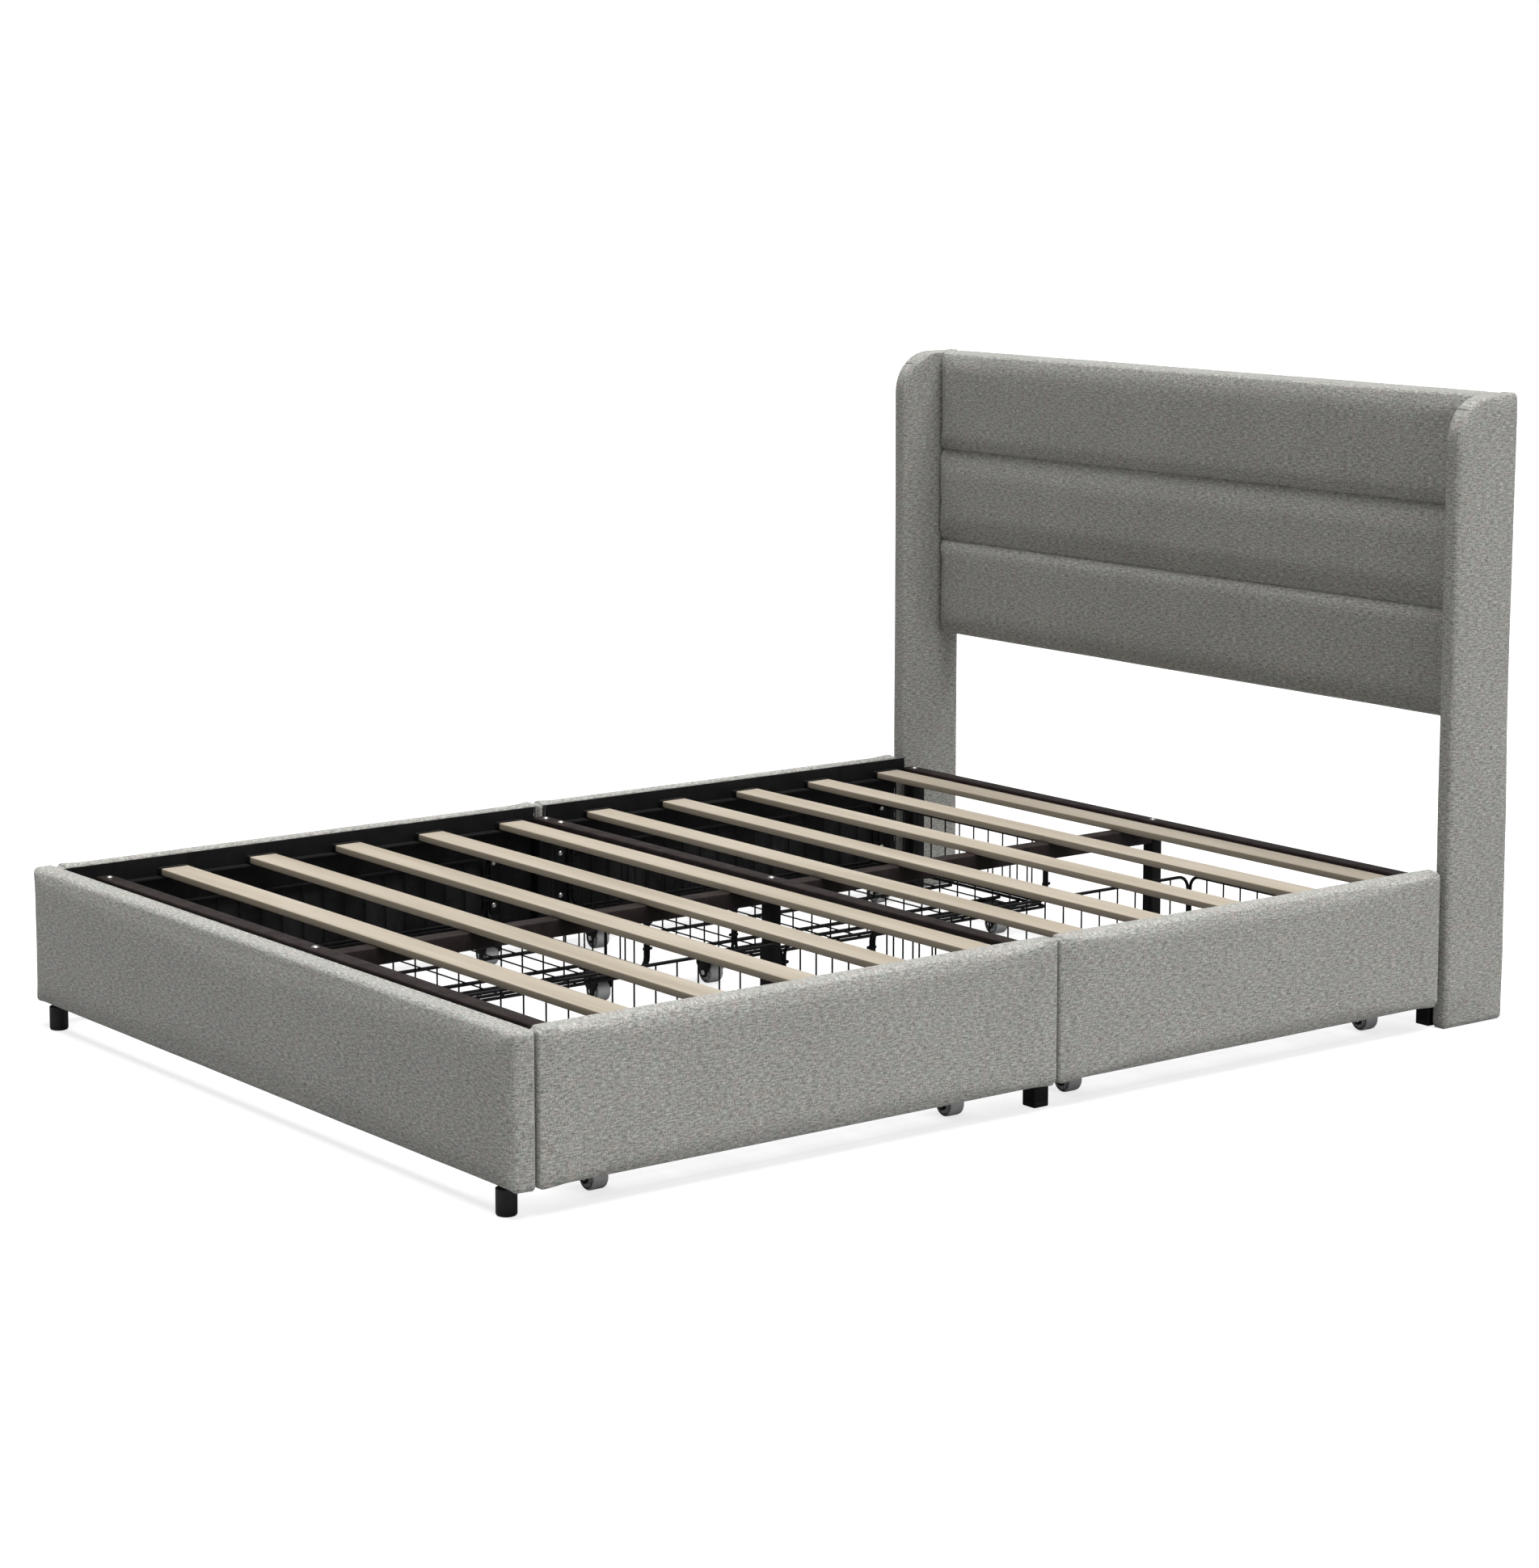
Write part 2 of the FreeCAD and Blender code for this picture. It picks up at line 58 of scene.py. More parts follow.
# --- Upholstery ---
CLOTH_RADIUS = 10 * MM          # soft edge of the padded panels
CLOTH_SPACING = 12 * MM         # grid of the padded meshes
CORNER_RADIUS = 10 * MM         # drawer fronts, in side view
WING_CORNER = 80 * MM
STUFFING_PRESSURE = 4.0
STUFFING_FRAMES = 16
RIPPLE = 0.7 * MM
HEADBOARD_SIDE_GAP = 3.5 * MM   # dark gap between the headboard and each wing
SEAM_HEIGHTS = (700 * MM, 879 * MM)
SEAM_DEPTH = 12 * MM
SEAM_SHOULDER = 30 * MM
SEAM_GRID = (1 * MM, 3 * MM, 7 * MM)    # extra rows of mesh on both sides of a seam
STITCH_PITCH = 5 * MM
STITCH_LENGTH = 3.9 * MM
BACKING_INSET = 6 * MM          # edge of a panel to its backing cloth
BACKING_GRID = 25 * MM
STAPLE_EDGE = 5 * MM            # edge of a backing cloth to its staples
STAPLE_PITCH = 60 * MM

# --- Slats ---
SLAT_EASE = 1.8 * MM
CAP_LENGTH = 12 * MM
CAP_LIP = 0.6 * MM              # the lip stands this far proud of the rest of a cap

# --- Frame ---
TUBE_CORNER = 3 * MM
TUBE_WALL = 1.5 * MM
LEG_SIZE = 30 * MM              # square legs at the sides
LEG_FOOT = 8 * MM               # height of the plastic foot
FOOT_EASE = 1.2 * MM
BOLT_HEAD = 6 * MM
BOLT_RISE = 3.2 * MM
BOLT_INSET = 19 * MM
BOLT_PAIR = 49 * MM

# --- Drawers ---
BRACKET_REACH = 12 * MM
BRACKET_WALL = 2 * MM
SCREW_HEAD = 4.5 * MM
SCREW_RISE = 2.6 * MM
SCREW_HEIGHTS = (97 * MM, 176 * MM)
SCREW_INSET = 12 * MM           # free edge of a bracket to its screws
FRAME_ROD = 3 * MM              # radii of the basket's rods
WIRE_ROD = 1.5 * MM
BRACE_ROD = 3.5 * MM
ROD_BEND = 22 * MM
FLOOR_BEND = 14 * MM
WELD = 0.4 * MM
RIM_LIFT = 1.5 * MM
WALL_PITCH = 43 * MM
FLOOR_PITCH = 50 * MM
BRACE_SPREAD = 27.5 * MM
MIDDLE_BRACE = 280 * MM         # basket's inner edge to its single brace

# --- Casters ---
PLATE_HALF = Vector((34 * MM, 21 * MM))
PLATE_WALL = 3 * MM
PLATE_CORNER = 6 * MM
RIVET_HALF = Vector((27 * MM, 14 * MM))
CHEEK_WALL = 2.5 * MM
CHEEK_GAP = 1 * MM              # each side of the wheel
CHEEK_TOP = 21 * MM             # half the width of a cheek under its plate
CHEEK_TIP = 9.5 * MM            # radius round the pin
CHEEK_WAIST = 14 * MM           # height above the pin where a cheek starts to taper
PIN = 3 * MM
BORE = 3.15 * MM
HUB = 8 * MM
RIBS = 8
RIB_HALF = 0.7 * MM


# ==== Materials =====================================================
class Nodes:
    """Plain calls that fill a node tree; kinds of node are given without their prefix."""

    prefix = "ShaderNode"

    def add(self, kind, inputs=None, prefix=None, **settings):
        node = self.tree.nodes.new((prefix or self.prefix) + kind)
        for name, value in settings.items():
            setattr(node, name, value)
        for name, value in (inputs or {}).items():
            self.feed(node.inputs[name], value)
        return node

    def feed(self, socket, value):
        if isinstance(value, bpy.types.NodeSocket):
            self.tree.links.new(value, socket)
        else:
            socket.default_value = value

    def calc(self, operation, first, second=0.0):
        node = self.add("Math", {0: first, 1: second}, "ShaderNode", operation=operation)
        return node.outputs["Value"]

    def times(self, first, second):
        return self.calc("MULTIPLY", first, second)


class Finish(Nodes):
    """A node material on object coordinates or a UV map."""

    def __init__(self, name, **plain):
        self.material = bpy.data.materials.new(name)
        self.material.use_nodes = True
        self.tree = self.material.node_tree
        self.shader = self.tree.nodes["Principled BSDF"]
        for socket, value in plain.items():
            self.shader.inputs[socket.replace("_", " ")].default_value = value
        self.place = self.add("TexCoord").outputs["Object"]

    def grain(self, scale, detail=2.0, rough=0.5, vector=None):
        """Fractal noise; scale is in features a metre, one number or one for each axis."""
        if not isinstance(scale, tuple):
            scale = (scale,) * 3
        mapping = self.add("Mapping", {"Vector": vector or self.place, "Scale": scale})
        inputs = {"Vector": mapping.outputs["Vector"], "Scale": 1.0, "Detail": detail,
                  "Roughness": rough}
        return self.add("TexNoise", inputs).outputs["Fac"]

    def ramp(self, factor, *stops):
        """Colours at positions along a factor."""
        node = self.add("ValToRGB", {"Fac": factor})
        points = node.color_ramp.elements
        for index, (position, colour) in enumerate(stops):
            point = points[index] if index < 2 else points.new(position)
            point.position = position
            point.color = (*colour, 1.0)
        return node.outputs["Color"]

    def spread(self, factor, low, high, from_low=0.3, from_high=0.7):
        """A factor remapped from its usual noise range."""
        inputs = {"Value": factor, "From Min": from_low, "From Max": from_high,
                  "To Min": low, "To Max": high}
        return self.add("MapRange", inputs).outputs["Result"]

    def blend(self, factor, first, second, kind="MIX"):
        node = self.add("Mix", data_type="RGBA", blend_type=kind)
        self.feed(node.inputs[0], factor)
        for socket, colour in ((node.inputs[6], first), (node.inputs[7], second)):
            self.feed(socket, colour if isinstance(colour, bpy.types.NodeSocket) else (*colour, 1.0))
        return node.outputs[2]

    def bump(self, height, depth, strength=1.0, under=None):
        inputs = {"Height": height, "Distance": depth, "Strength": strength}
        if under is not None:
            inputs["Normal"] = under
        return self.add("Bump", inputs).outputs["Normal"]

    def finish(self, colour=None, roughness=None, normal=None, **others):
        given = {"Base_Color": colour, "Roughness": roughness, "Normal": normal, **others}
        for name, value in given.items():
            if value is not None:
                self.feed(self.shader.inputs[name.replace("_", " ")], value)
        return self.material


def linen():
    """Heathered grey cloth: streaked warp and weft yarns, a plain weave, warm and cool flecks."""
    f = Finish("heathered_linen", Sheen_Weight=0.16, Sheen_Roughness=0.5,
               Specular_IOR_Level=0.2)
    cloth = f.add("UVMap", uv_map="cloth").outputs["UV"]
    warp = f.grain((460.0, 150.0, 1.0), 2.0, 0.6, cloth)
    weft = f.grain((90.0, 460.0, 1.0), 2.0, 0.6, cloth)
    fleck = f.grain((330.0, 330.0, 1.0), 3.0, 0.7, cloth)
    yarns = f.calc("ADD", f.times(warp, 0.26), f.times(weft, 0.42))
    heather = f.calc("ADD", yarns, f.times(fleck, 0.32))
    tone = f.ramp(heather, (0.39, (0.140, 0.139, 0.129)), (0.50, (0.300, 0.296, 0.275)),
                  (0.61, (0.510, 0.505, 0.475)))
    warmth = f.grain((55.0, 55.0, 1.0), 3.0, 0.6, cloth)
    tint = f.ramp(warmth, (0.38, (0.96, 1.01, 1.01)), (0.50, (1.0, 1.0, 1.0)),
                  (0.62, (1.035, 0.985, 0.98)))
    colour = f.blend(1.0, tone, tint, "MULTIPLY")
    cloudy = f.spread(f.grain(9.0, 2.0), 0.965, 1.035)
    grey = f.add("CombineColor", {0: cloudy, 1: cloudy, 2: cloudy}).outputs["Color"]
    colour = f.blend(1.0, colour, grey, "MULTIPLY")
    axes = f.add("SeparateXYZ", {"Vector": cloth}).outputs
    yarn_step = 2 * math.pi / (1.6 * MM)
    weave = f.times(f.calc("SINE", f.times(axes["X"], yarn_step)),
                    f.calc("SINE", f.times(axes["Y"], yarn_step)))
    slubs = f.bump(heather, 1.6 * MM, 0.75)
    woven = f.bump(weave, 0.25 * MM, 0.6, slubs)
    return f.finish(colour, f.spread(fleck, 0.78, 0.96), woven)


def backing_cloth():
    """Black non-woven cloth: pressed dots, matted fibres and faint creases where it is pulled."""
    f = Finish("black_backing_cloth", Sheen_Weight=0.04, Specular_IOR_Level=0.15)
    dots = f.add("TexVoronoi", {"Vector": f.place, "Scale": 300.0, "Randomness": 0.15})
    pressed = f.spread(dots.outputs["Distance"], 0.0, 1.0, 0.15, 0.45)
    fibres = f.grain(900.0, 3.0, 0.7)
    matted = f.grain(38.0, 5.0, 0.75)
    tone = f.calc("ADD", f.times(fibres, 0.5), f.times(matted, 0.5))
    colour = f.ramp(tone, (0.40, (0.0035, 0.0035, 0.004)), (0.60, (0.017, 0.017, 0.018)))
    height = f.calc("ADD", f.times(pressed, 0.7), f.times(fibres, 0.3))
    creases = f.bump(f.grain((5.0, 5.0, 17.0), 2.0, 0.5), 5 * MM, 0.6)
    return f.finish(colour, f.spread(matted, 0.70, 0.95), f.bump(height, 0.3 * MM, 0.7, creases))


def slat_wood():
    """Pale bent ply: long grain on the faces, thin glued layers on the edges."""
    f = Finish("pale_ply", Specular_IOR_Level=0.35)
    fibre = f.grain((3.0, 220.0, 220.0), 4.0, 0.6)
    figure = f.grain((1.6, 24.0, 24.0), 3.0, 0.55)
    face = f.ramp(figure, (0.32, (0.318, 0.275, 0.218)), (0.50, (0.352, 0.308, 0.250)),
                  (0.68, (0.384, 0.342, 0.284)))
    fine = f.ramp(fibre, (0.30, (0.90, 0.88, 0.85)), (0.70, (1.04, 1.04, 1.03)))
    face = f.blend(1.0, face, fine, "MULTIPLY")
    height = f.add("SeparateXYZ", {"Vector": f.place}).outputs["Z"]
    layers = f.calc("SINE", f.times(height, 2 * math.pi / (2.4 * MM)))
    edge = f.blend(f.spread(layers, 0.0, 1.0, -0.6, 0.6), (0.325, 0.277, 0.212), (0.375, 0.325, 0.26))
    edge = f.blend(1.0, edge, fine, "MULTIPLY")
    normal = f.add("SeparateXYZ", {"Vector": f.add("NewGeometry").outputs["True Normal"]})
    sideways = f.calc("GREATER_THAN", f.calc("ABSOLUTE", normal.outputs["Y"]), 0.6)
    colour = f.blend(sideways, face, edge)
    return f.finish(colour, f.spread(figure, 0.48, 0.64), f.bump(fibre, 0.25 * MM, 0.5))


def coated_steel(name, dark, light, shine):
    """Powder-coated steel: a fine pebbled skin with faint rubbed patches."""
    f = Finish(name, Specular_IOR_Level=0.14)
    pebble = f.grain(850.0, 2.0, 0.5)
    patches = f.grain(28.0, 4.0, 0.65)
    colour = f.ramp(patches, (0.35, dark), (0.68, light))
    roughness = f.calc("ADD", f.spread(patches, shine + 0.08, shine - 0.06),
                       f.times(pebble, 0.08))
    return f.finish(colour, roughness, f.bump(pebble, 0.12 * MM, 0.55))


def black_plastic():
    """Moulded black plastic with a fine spark-eroded grain."""
    f = Finish("black_plastic", Specular_IOR_Level=0.3)
    grain = f.grain(1200.0, 2.0, 0.6)
    colour = f.ramp(f.grain(45.0, 3.0), (0.35, (0.006, 0.006, 0.006)), (0.7, (0.013, 0.013, 0.014)))
    return f.finish(colour, f.spread(grain, 0.42, 0.60), f.bump(grain, 0.08 * MM, 0.5))


def zinc():
    """Bright zinc plate with turned marks and small dull spots."""
    f = Finish("bright_zinc", Metallic=1.0)
    brushed = f.grain((900.0, 900.0, 60.0), 2.0, 0.6)
    spots = f.grain(260.0, 3.0, 0.6)
    colour = f.ramp(spots, (0.35, (0.62, 0.62, 0.60)), (0.65, (0.84, 0.84, 0.83)))
    return f.finish(colour, f.spread(spots, 0.40, 0.22), f.bump(brushed, 0.05 * MM, 0.4))


def roller_plastic():
    """Smoky clear roller: cloudy flow lines, scuffed to dull on the tread."""
    f = Finish("smoky_roller", Specular_IOR_Level=0.5, Transmission_Weight=0.12, IOR=1.45)
    flow = f.grain((60.0, 25.0, 60.0), 3.0, 0.6)
    scuffs = f.grain(500.0, 3.0, 0.7)
    colour = f.ramp(flow, (0.35, (0.56, 0.56, 0.575)), (0.65, (0.70, 0.70, 0.715)))
    return f.finish(colour, f.spread(scuffs, 0.22, 0.42), f.bump(scuffs, 0.06 * MM, 0.4))


def thread():
    """Grey sewing thread with a twisted ply."""
    f = Finish("grey_thread", Sheen_Weight=0.2)
    twist = f.grain((2500.0, 900.0, 900.0), 1.0)
    colour = f.ramp(twist, (0.35, (0.17, 0.165, 0.155)), (0.65, (0.33, 0.32, 0.30)))
    return f.finish(colour, 0.75, f.bump(twist, 0.1 * MM, 0.6))


def studio_floor():
    """Pale matt floor that glows to the eye alone, so that shadows on it stay light."""
    f = Finish("pale_floor", Specular_IOR_Level=0.1)
    colour = f.ramp(f.grain(1.3, 3.0), (0.3, (0.31, 0.31, 0.31)), (0.7, (0.34, 0.34, 0.34)))
    glow = f.times(f.add("LightPath").outputs["Is Camera Ray"], 0.76)
    return f.finish(colour, 0.8, Emission_Color=(1.0, 1.0, 1.0, 1.0), Emission_Strength=glow)


LINEN = linen()
BACKING = backing_cloth()
PLY = slat_wood()
BLACK_STEEL = coated_steel("black_steel", (0.0045, 0.0045, 0.005), (0.009, 0.009, 0.0095), 0.48)
BAR_STEEL = coated_steel("bar_steel", (0.014, 0.0098, 0.0094), (0.026, 0.019, 0.018), 0.50)
WIRE_STEEL = coated_steel("coated_wire", (0.004, 0.004, 0.0045), (0.008, 0.008, 0.009), 0.42)
PLASTIC = black_plastic()
ZINC = zinc()
ROLLER = roller_plastic()
THREAD = thread()


# ==== Mesh helpers ==================================================
def corners(node):
    low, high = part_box(node)
    return Vector(low), Vector(high)


def new_object(name, mesh):
    made = bpy.data.objects.new(name, mesh)
    bpy.context.scene.collection.objects.link(made)
    return made


def from_bmesh(name, shape, *materials, sharp=None):
    """A smooth object from a bmesh, faces outwards, crisp at edges past sharp degrees."""
    bmesh.ops.recalc_face_normals(shape, faces=shape.faces)
    mesh = bpy.data.meshes.new(name)
    for face in shape.faces:
        face.smooth = True
    shape.to_mesh(mesh)
    shape.free()
    for material in materials:
        mesh.materials.append(material)
    if sharp:
        mesh.set_sharp_from_angle(angle=math.radians(sharp))
    return new_object(name, mesh)


def settle(piece, body, slot, *replaced):
    """Puts a finished piece on its body and hides the CAD parts that it stands for; slot is not used.
    """
    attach(piece, body)
    if replaced:
        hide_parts(*replaced)


def applied(piece):
    """The piece with its modifiers turned into plain mesh."""
    graph = bpy.context.evaluated_depsgraph_get()
    mesh = bpy.data.meshes.new_from_object(piece.evaluated_get(graph), depsgraph=graph)
    piece.modifiers.clear()
    piece.data = mesh
    return piece


def softened(piece, width):
    """Bevels a hard-edged piece and shades it by its faces."""
    bevel = piece.modifiers.new("bevel", "BEVEL")
    bevel.width = width
    bevel.segments = 2
    bevel.limit_method = "ANGLE"
    bevel.harden_normals = False
    piece = applied(piece)
    piece.data.set_sharp_from_angle(angle=math.radians(40))
    return piece


def ring_loft(shape, rings, closed=False, capped=False, material=0):
    """Quads between rings of places; the last ring may join the first, or both ends be filled."""
    made = [[shape.verts.new(place) for place in ring] for ring in rings]
    pairs = list(zip(made, made[1:]))
    if closed:
        pairs.append((made[-1], made[0]))
    faces = []
    for first, second in pairs:
        for index in range(len(first)):
            after = (index + 1) % len(first)
            faces.append(shape.faces.new((first[index], first[after], second[after], second[index])))
    if capped:
        faces += [shape.faces.new(ring) for ring in (made[0], made[-1])]
    for face in faces:
        face.material_index = material


def ring_at(outline, axis, level):
    """A 2-D outline as places at one level of an axis."""
    u, v = [other for other in range(3) if other != axis]
    ring = []
    for first, second in outline:
        place = Vector((0, 0, 0))
        place[axis], place[u], place[v] = level, first, second
        ring.append(place)
    return ring


def block(shape, outline, axis, levels):
    """A solid with the same outline at two levels of an axis."""
    ring_loft(shape, [ring_at(outline, axis, level) for level in levels], capped=True)


def turned(shape, profile, centre, axis, segments, closed=False, material=0):
    """A turned body about axis 0, 1 or 2; profile is (distance along the axis, radius)."""
    units = [Vector((1, 0, 0)), Vector((0, 1, 0)), Vector((0, 0, 1))]
    along, first, second = units[axis:] + units[:axis]
    angles = [2 * math.pi * step / segments for step in range(segments)]
    rings = [[centre + along * distance + (first * math.cos(a) + second * math.sin(a)) * radius
              for a in angles] for distance, radius in profile]
    ring_loft(shape, rings, closed, not closed, material)


def rounded_rectangle(low, high, radius, segments=4):
    """Points round a rectangle in 2-D."""
    points = []
    for quarter, (u, v) in enumerate(((high[0] - radius, high[1] - radius),
                                      (low[0] + radius, high[1] - radius),
                                      (low[0] + radius, low[1] + radius),
                                      (high[0] - radius, low[1] + radius))):
        for step in range(segments + 1):
            angle = math.pi / 2 * (quarter + step / segments)
            points.append((u + radius * math.cos(angle), v + radius * math.sin(angle)))
    return points


# ==== Geometry Nodes ================================================
class Pattern(Nodes):
    """A geometry node tree with named inputs, run on a set of places."""

    prefix = "GeometryNode"
    KINDS = {float: "NodeSocketFloat", Vector: "NodeSocketVector",
             bpy.types.Material: "NodeSocketMaterial"}

    def __init__(self, name, **inputs):
        self.tree = bpy.data.node_groups.new(name, "GeometryNodeTree")
        self.socket("Geometry", "INPUT", "NodeSocketGeometry")
        for label, value in inputs.items():
            self.socket(label, "INPUT", self.KINDS[type(value)]).default_value = value
        self.socket("Geometry", "OUTPUT", "NodeSocketGeometry")
        self.given = self.tree.nodes.new("NodeGroupInput").outputs
        self.result = self.tree.nodes.new("NodeGroupOutput").inputs["Geometry"]

    def socket(self, label, direction, kind):
        return self.tree.interface.new_socket(name=label, in_out=direction, socket_type=kind)

    def vector(self, x=0.0, y=0.0, z=0.0):
        return self.add("CombineXYZ", {"X": x, "Y": y, "Z": z}, "ShaderNode").outputs["Vector"]

    def ends(self, length):
        """Start and end of a span of this length about zero."""
        half = self.calc("DIVIDE", length, 2.0)
        return self.times(half, -1.0), half

    def moved(self, geometry, place=(0, 0, 0), turn=(0, 0, 0), scale=(1, 1, 1)):
        inputs = {"Geometry": geometry, "Translation": place, "Rotation": Euler(turn),
                  "Scale": scale}
        return self.add("Transform", inputs).outputs["Geometry"]

    def joined(self, *parts):
        node = self.add("JoinGeometry")
        for part in parts:
            self.tree.links.new(part, node.inputs["Geometry"])
        return node.outputs["Geometry"]

    def line(self, start, end):
        return self.add("CurvePrimitiveLine", {"Start": start, "End": end}).outputs["Curve"]

    def circle(self, sides, radius):
        inputs = {"Resolution": sides, "Radius": radius}
        return self.add("CurvePrimitiveCircle", inputs).outputs["Curve"]

    def rectangle(self, width, height, bend, steps):
        """A rectangle with rounded corners."""
        square = self.add("CurvePrimitiveQuadrilateral", {"Width": width, "Height": height})
        inputs = {"Curve": square.outputs["Curve"], "Radius": bend, "Count": steps,
                  "Limit Radius": True}
        return self.add("FilletCurve", inputs, mode="POLY").outputs["Curve"]

    def solid(self, path, section):
        """A section carried along a path."""
        inputs = {"Curve": path, "Profile Curve": section, "Fill Caps": True}
        return self.add("CurveToMesh", inputs).outputs["Mesh"]

    def rod(self, path, radius, sides):
        return self.solid(path, self.circle(sides, radius))

    def bar(self, width, thickness, ease, start, end):
        """A straight bar along X with eased edges."""
        path = self.line(self.vector(start), self.vector(end))
        return self.solid(path, self.rectangle(width, thickness, ease, 4))

    def cylinder(self, sides, radius, depth):
        inputs = {"Vertices": sides, "Radius": radius, "Depth": depth}
        return self.add("MeshCylinder", inputs).outputs["Mesh"]

    def row(self, count, start, step):
        """Places in a straight row."""
        inputs = {"Count": count, "Start Location": start, "Offset": step}
        return self.add("MeshLine", inputs).outputs["Mesh"]

    def on_points(self, points, instance, turn=Euler()):
        inputs = {"Points": points, "Instance": instance, "Rotation": turn}
        return self.add("InstanceOnPoints", inputs).outputs["Instances"]

    def close(self, geometry):
        """Ends the tree: real geometry and its finish."""
        real = self.add("RealizeInstances", {"Geometry": geometry}).outputs["Geometry"]
        inputs = {"Geometry": real, "Material": self.given["Finish"]}
        finished = self.add("SetMaterial", inputs)
        self.tree.links.new(finished.outputs["Geometry"], self.result)
        return self

    def make(self, name, places, **values):
        """Runs the tree on a set of places and returns the result as a plain mesh object."""
        mesh = bpy.data.meshes.new(name)
        mesh.from_pydata([tuple(place) for place in places], [], [])
        piece = new_object(name, mesh)
        modifier = piece.modifiers.new("pattern", "NODES")
        modifier.node_group = self.tree
        for item in self.tree.interface.items_tree:
            if item.in_out == "INPUT" and item.name in values:
                modifier[item.identifier] = values[item.name]
        piece = applied(piece)
        piece.data.shade_smooth()
        piece.data.set_sharp_from_angle(angle=math.radians(50))
        return piece


def button_head_pattern():
    """Round screw heads with a hexagon recess, one on each place, turned to face out."""
    p = Pattern("button_heads", Radius=BOLT_HEAD, Rise=BOLT_RISE, Turn=Vector(), Finish=ZINC)
    g = p.given
    ball = p.add("MeshUVSphere", {"Segments": 20, "Rings": 12, "Radius": 1.0}).outputs["Mesh"]
    dome = p.moved(ball, scale=p.vector(g["Radius"], g["Radius"], g["Rise"]))
    recess = p.cylinder(6, p.times(g["Radius"], 0.42), p.times(g["Rise"], 1.2))
    cutter = p.moved(recess, p.vector(z=g["Rise"]))
    head = p.add("MeshBoolean", {"Mesh 1": dome, "Mesh 2": cutter}, operation="DIFFERENCE")
    washer = p.cylinder(24, p.times(g["Radius"], 1.08), p.times(g["Rise"], 0.3))
    return p.close(p.on_points(g["Geometry"], p.joined(head.outputs["Mesh"], washer), g["Turn"]))


def wire_panel(p, width, height, pitch, bend):
    """A bent frame rod in the XY plane with thin wires along Y, about pitch apart."""
    g = p.given
    rim = p.rod(p.rectangle(width, height, bend, 5), g["Rod"], 12)
    spaces = p.calc("ROUND", p.calc("DIVIDE", width, pitch))
    step = p.calc("DIVIDE", width, spaces)
    first = p.calc("SUBTRACT", step, p.calc("DIVIDE", width, 2.0))
    places = p.row(p.calc("SUBTRACT", spaces, 1.0), p.vector(first), p.vector(step))
    low, high = p.ends(height)
    wire = p.rod(p.line(p.vector(y=low), p.vector(y=high)), g["Wire"], 8)
    return p.joined(rim, p.on_points(places, wire))


def basket_pattern():
    """Five wire panels, five braces under the floor and clips round the paired corner rods.
    The places that it runs on are the middles of the braces."""
    p = Pattern("wire_basket", Middle=Vector(), Depth=0.51, Length=0.73, Height=0.12,
                Rod=FRAME_ROD, Wire=WIRE_ROD, Brace=BRACE_ROD, Bend=ROD_BEND, FloorBend=FLOOR_BEND,
                WallPitch=WALL_PITCH, FloorPitch=FLOOR_PITCH, Finish=WIRE_STEEL)
    g = p.given
    quarter = math.pi / 2
    floor = wire_panel(p, g["Length"], g["Depth"], g["FloorPitch"], g["FloorBend"])
    base = p.times(g["Rod"], 2.16)
    wall_middle = p.calc("ADD", base, p.calc("DIVIDE", g["Height"], 2.0))
    end = wire_panel(p, g["Depth"], g["Height"], g["WallPitch"], g["Bend"])
    inner_length = p.calc("SUBTRACT", g["Length"], p.times(g["Rod"], 4.3))
    side = wire_panel(p, inner_length, g["Height"], g["WallPitch"], g["Bend"])
    walls = []
    for x, y in zip(p.ends(g["Depth"]), p.ends(g["Length"])):
        walls.append(p.moved(end, p.vector(y=y, z=wall_middle), (quarter, 0, 0)))
        walls.append(p.moved(side, p.vector(x=x, z=wall_middle), (quarter, 0, quarter)))
    start, finish = p.ends(g["Length"])
    brace = p.rod(p.line(p.vector(y=start), p.vector(y=finish)), g["Brace"], 12)
    braces = p.on_points(g["Geometry"], brace)
    band = p.rod(p.circle(14, p.times(g["Rod"], 1.5)), p.times(g["Rod"], 0.3), 6)
    clip = p.moved(band, scale=(1.0, 1.9, 2.6))
    grid = p.add("MeshGrid", {"Size X": g["Depth"], "Vertices X": 2, "Vertices Y": 2,
                              "Size Y": p.calc("SUBTRACT", g["Length"], g["Rod"])})
    clips = []
    for share in (0.32, 0.72):
        z = p.calc("ADD", base, p.times(g["Height"], share))
        clips.append(p.on_points(p.moved(grid.outputs["Mesh"], p.vector(z=z)), clip))
    fixed = p.joined(p.moved(floor, turn=(0, 0, quarter)), *walls, *clips)
    return p.close(p.joined(p.moved(fixed, g["Middle"]), braces))


def stitch_pattern():
    """A row of short thread loops along X, one on each place."""
    p = Pattern("stitches", Length=STITCH_LENGTH, Thread=0.35 * MM, Dip=0.6 * MM, Finish=THREAD)
    g = p.given
    start, end = p.ends(g["Length"])
    arc = p.add("CurveQuadraticBezier",
                {"Resolution": 5, "Start": p.vector(start, g["Dip"]),
                 "Middle": p.vector(y=p.times(g["Dip"], -1.0)), "End": p.vector(end, g["Dip"])})
    return p.close(p.on_points(g["Geometry"], p.rod(arc.outputs["Curve"], g["Thread"], 5)))


def slat_pattern():
    """Bent-ply boards with eased edges, one on each place."""
    p = Pattern("slats", Length=1.4, Width=0.052, Thickness=0.012, Ease=SLAT_EASE, Finish=PLY)
    g = p.given
    board = p.bar(g["Width"], g["Thickness"], g["Ease"], *p.ends(g["Length"]))
    return p.close(p.on_points(g["Geometry"], board))


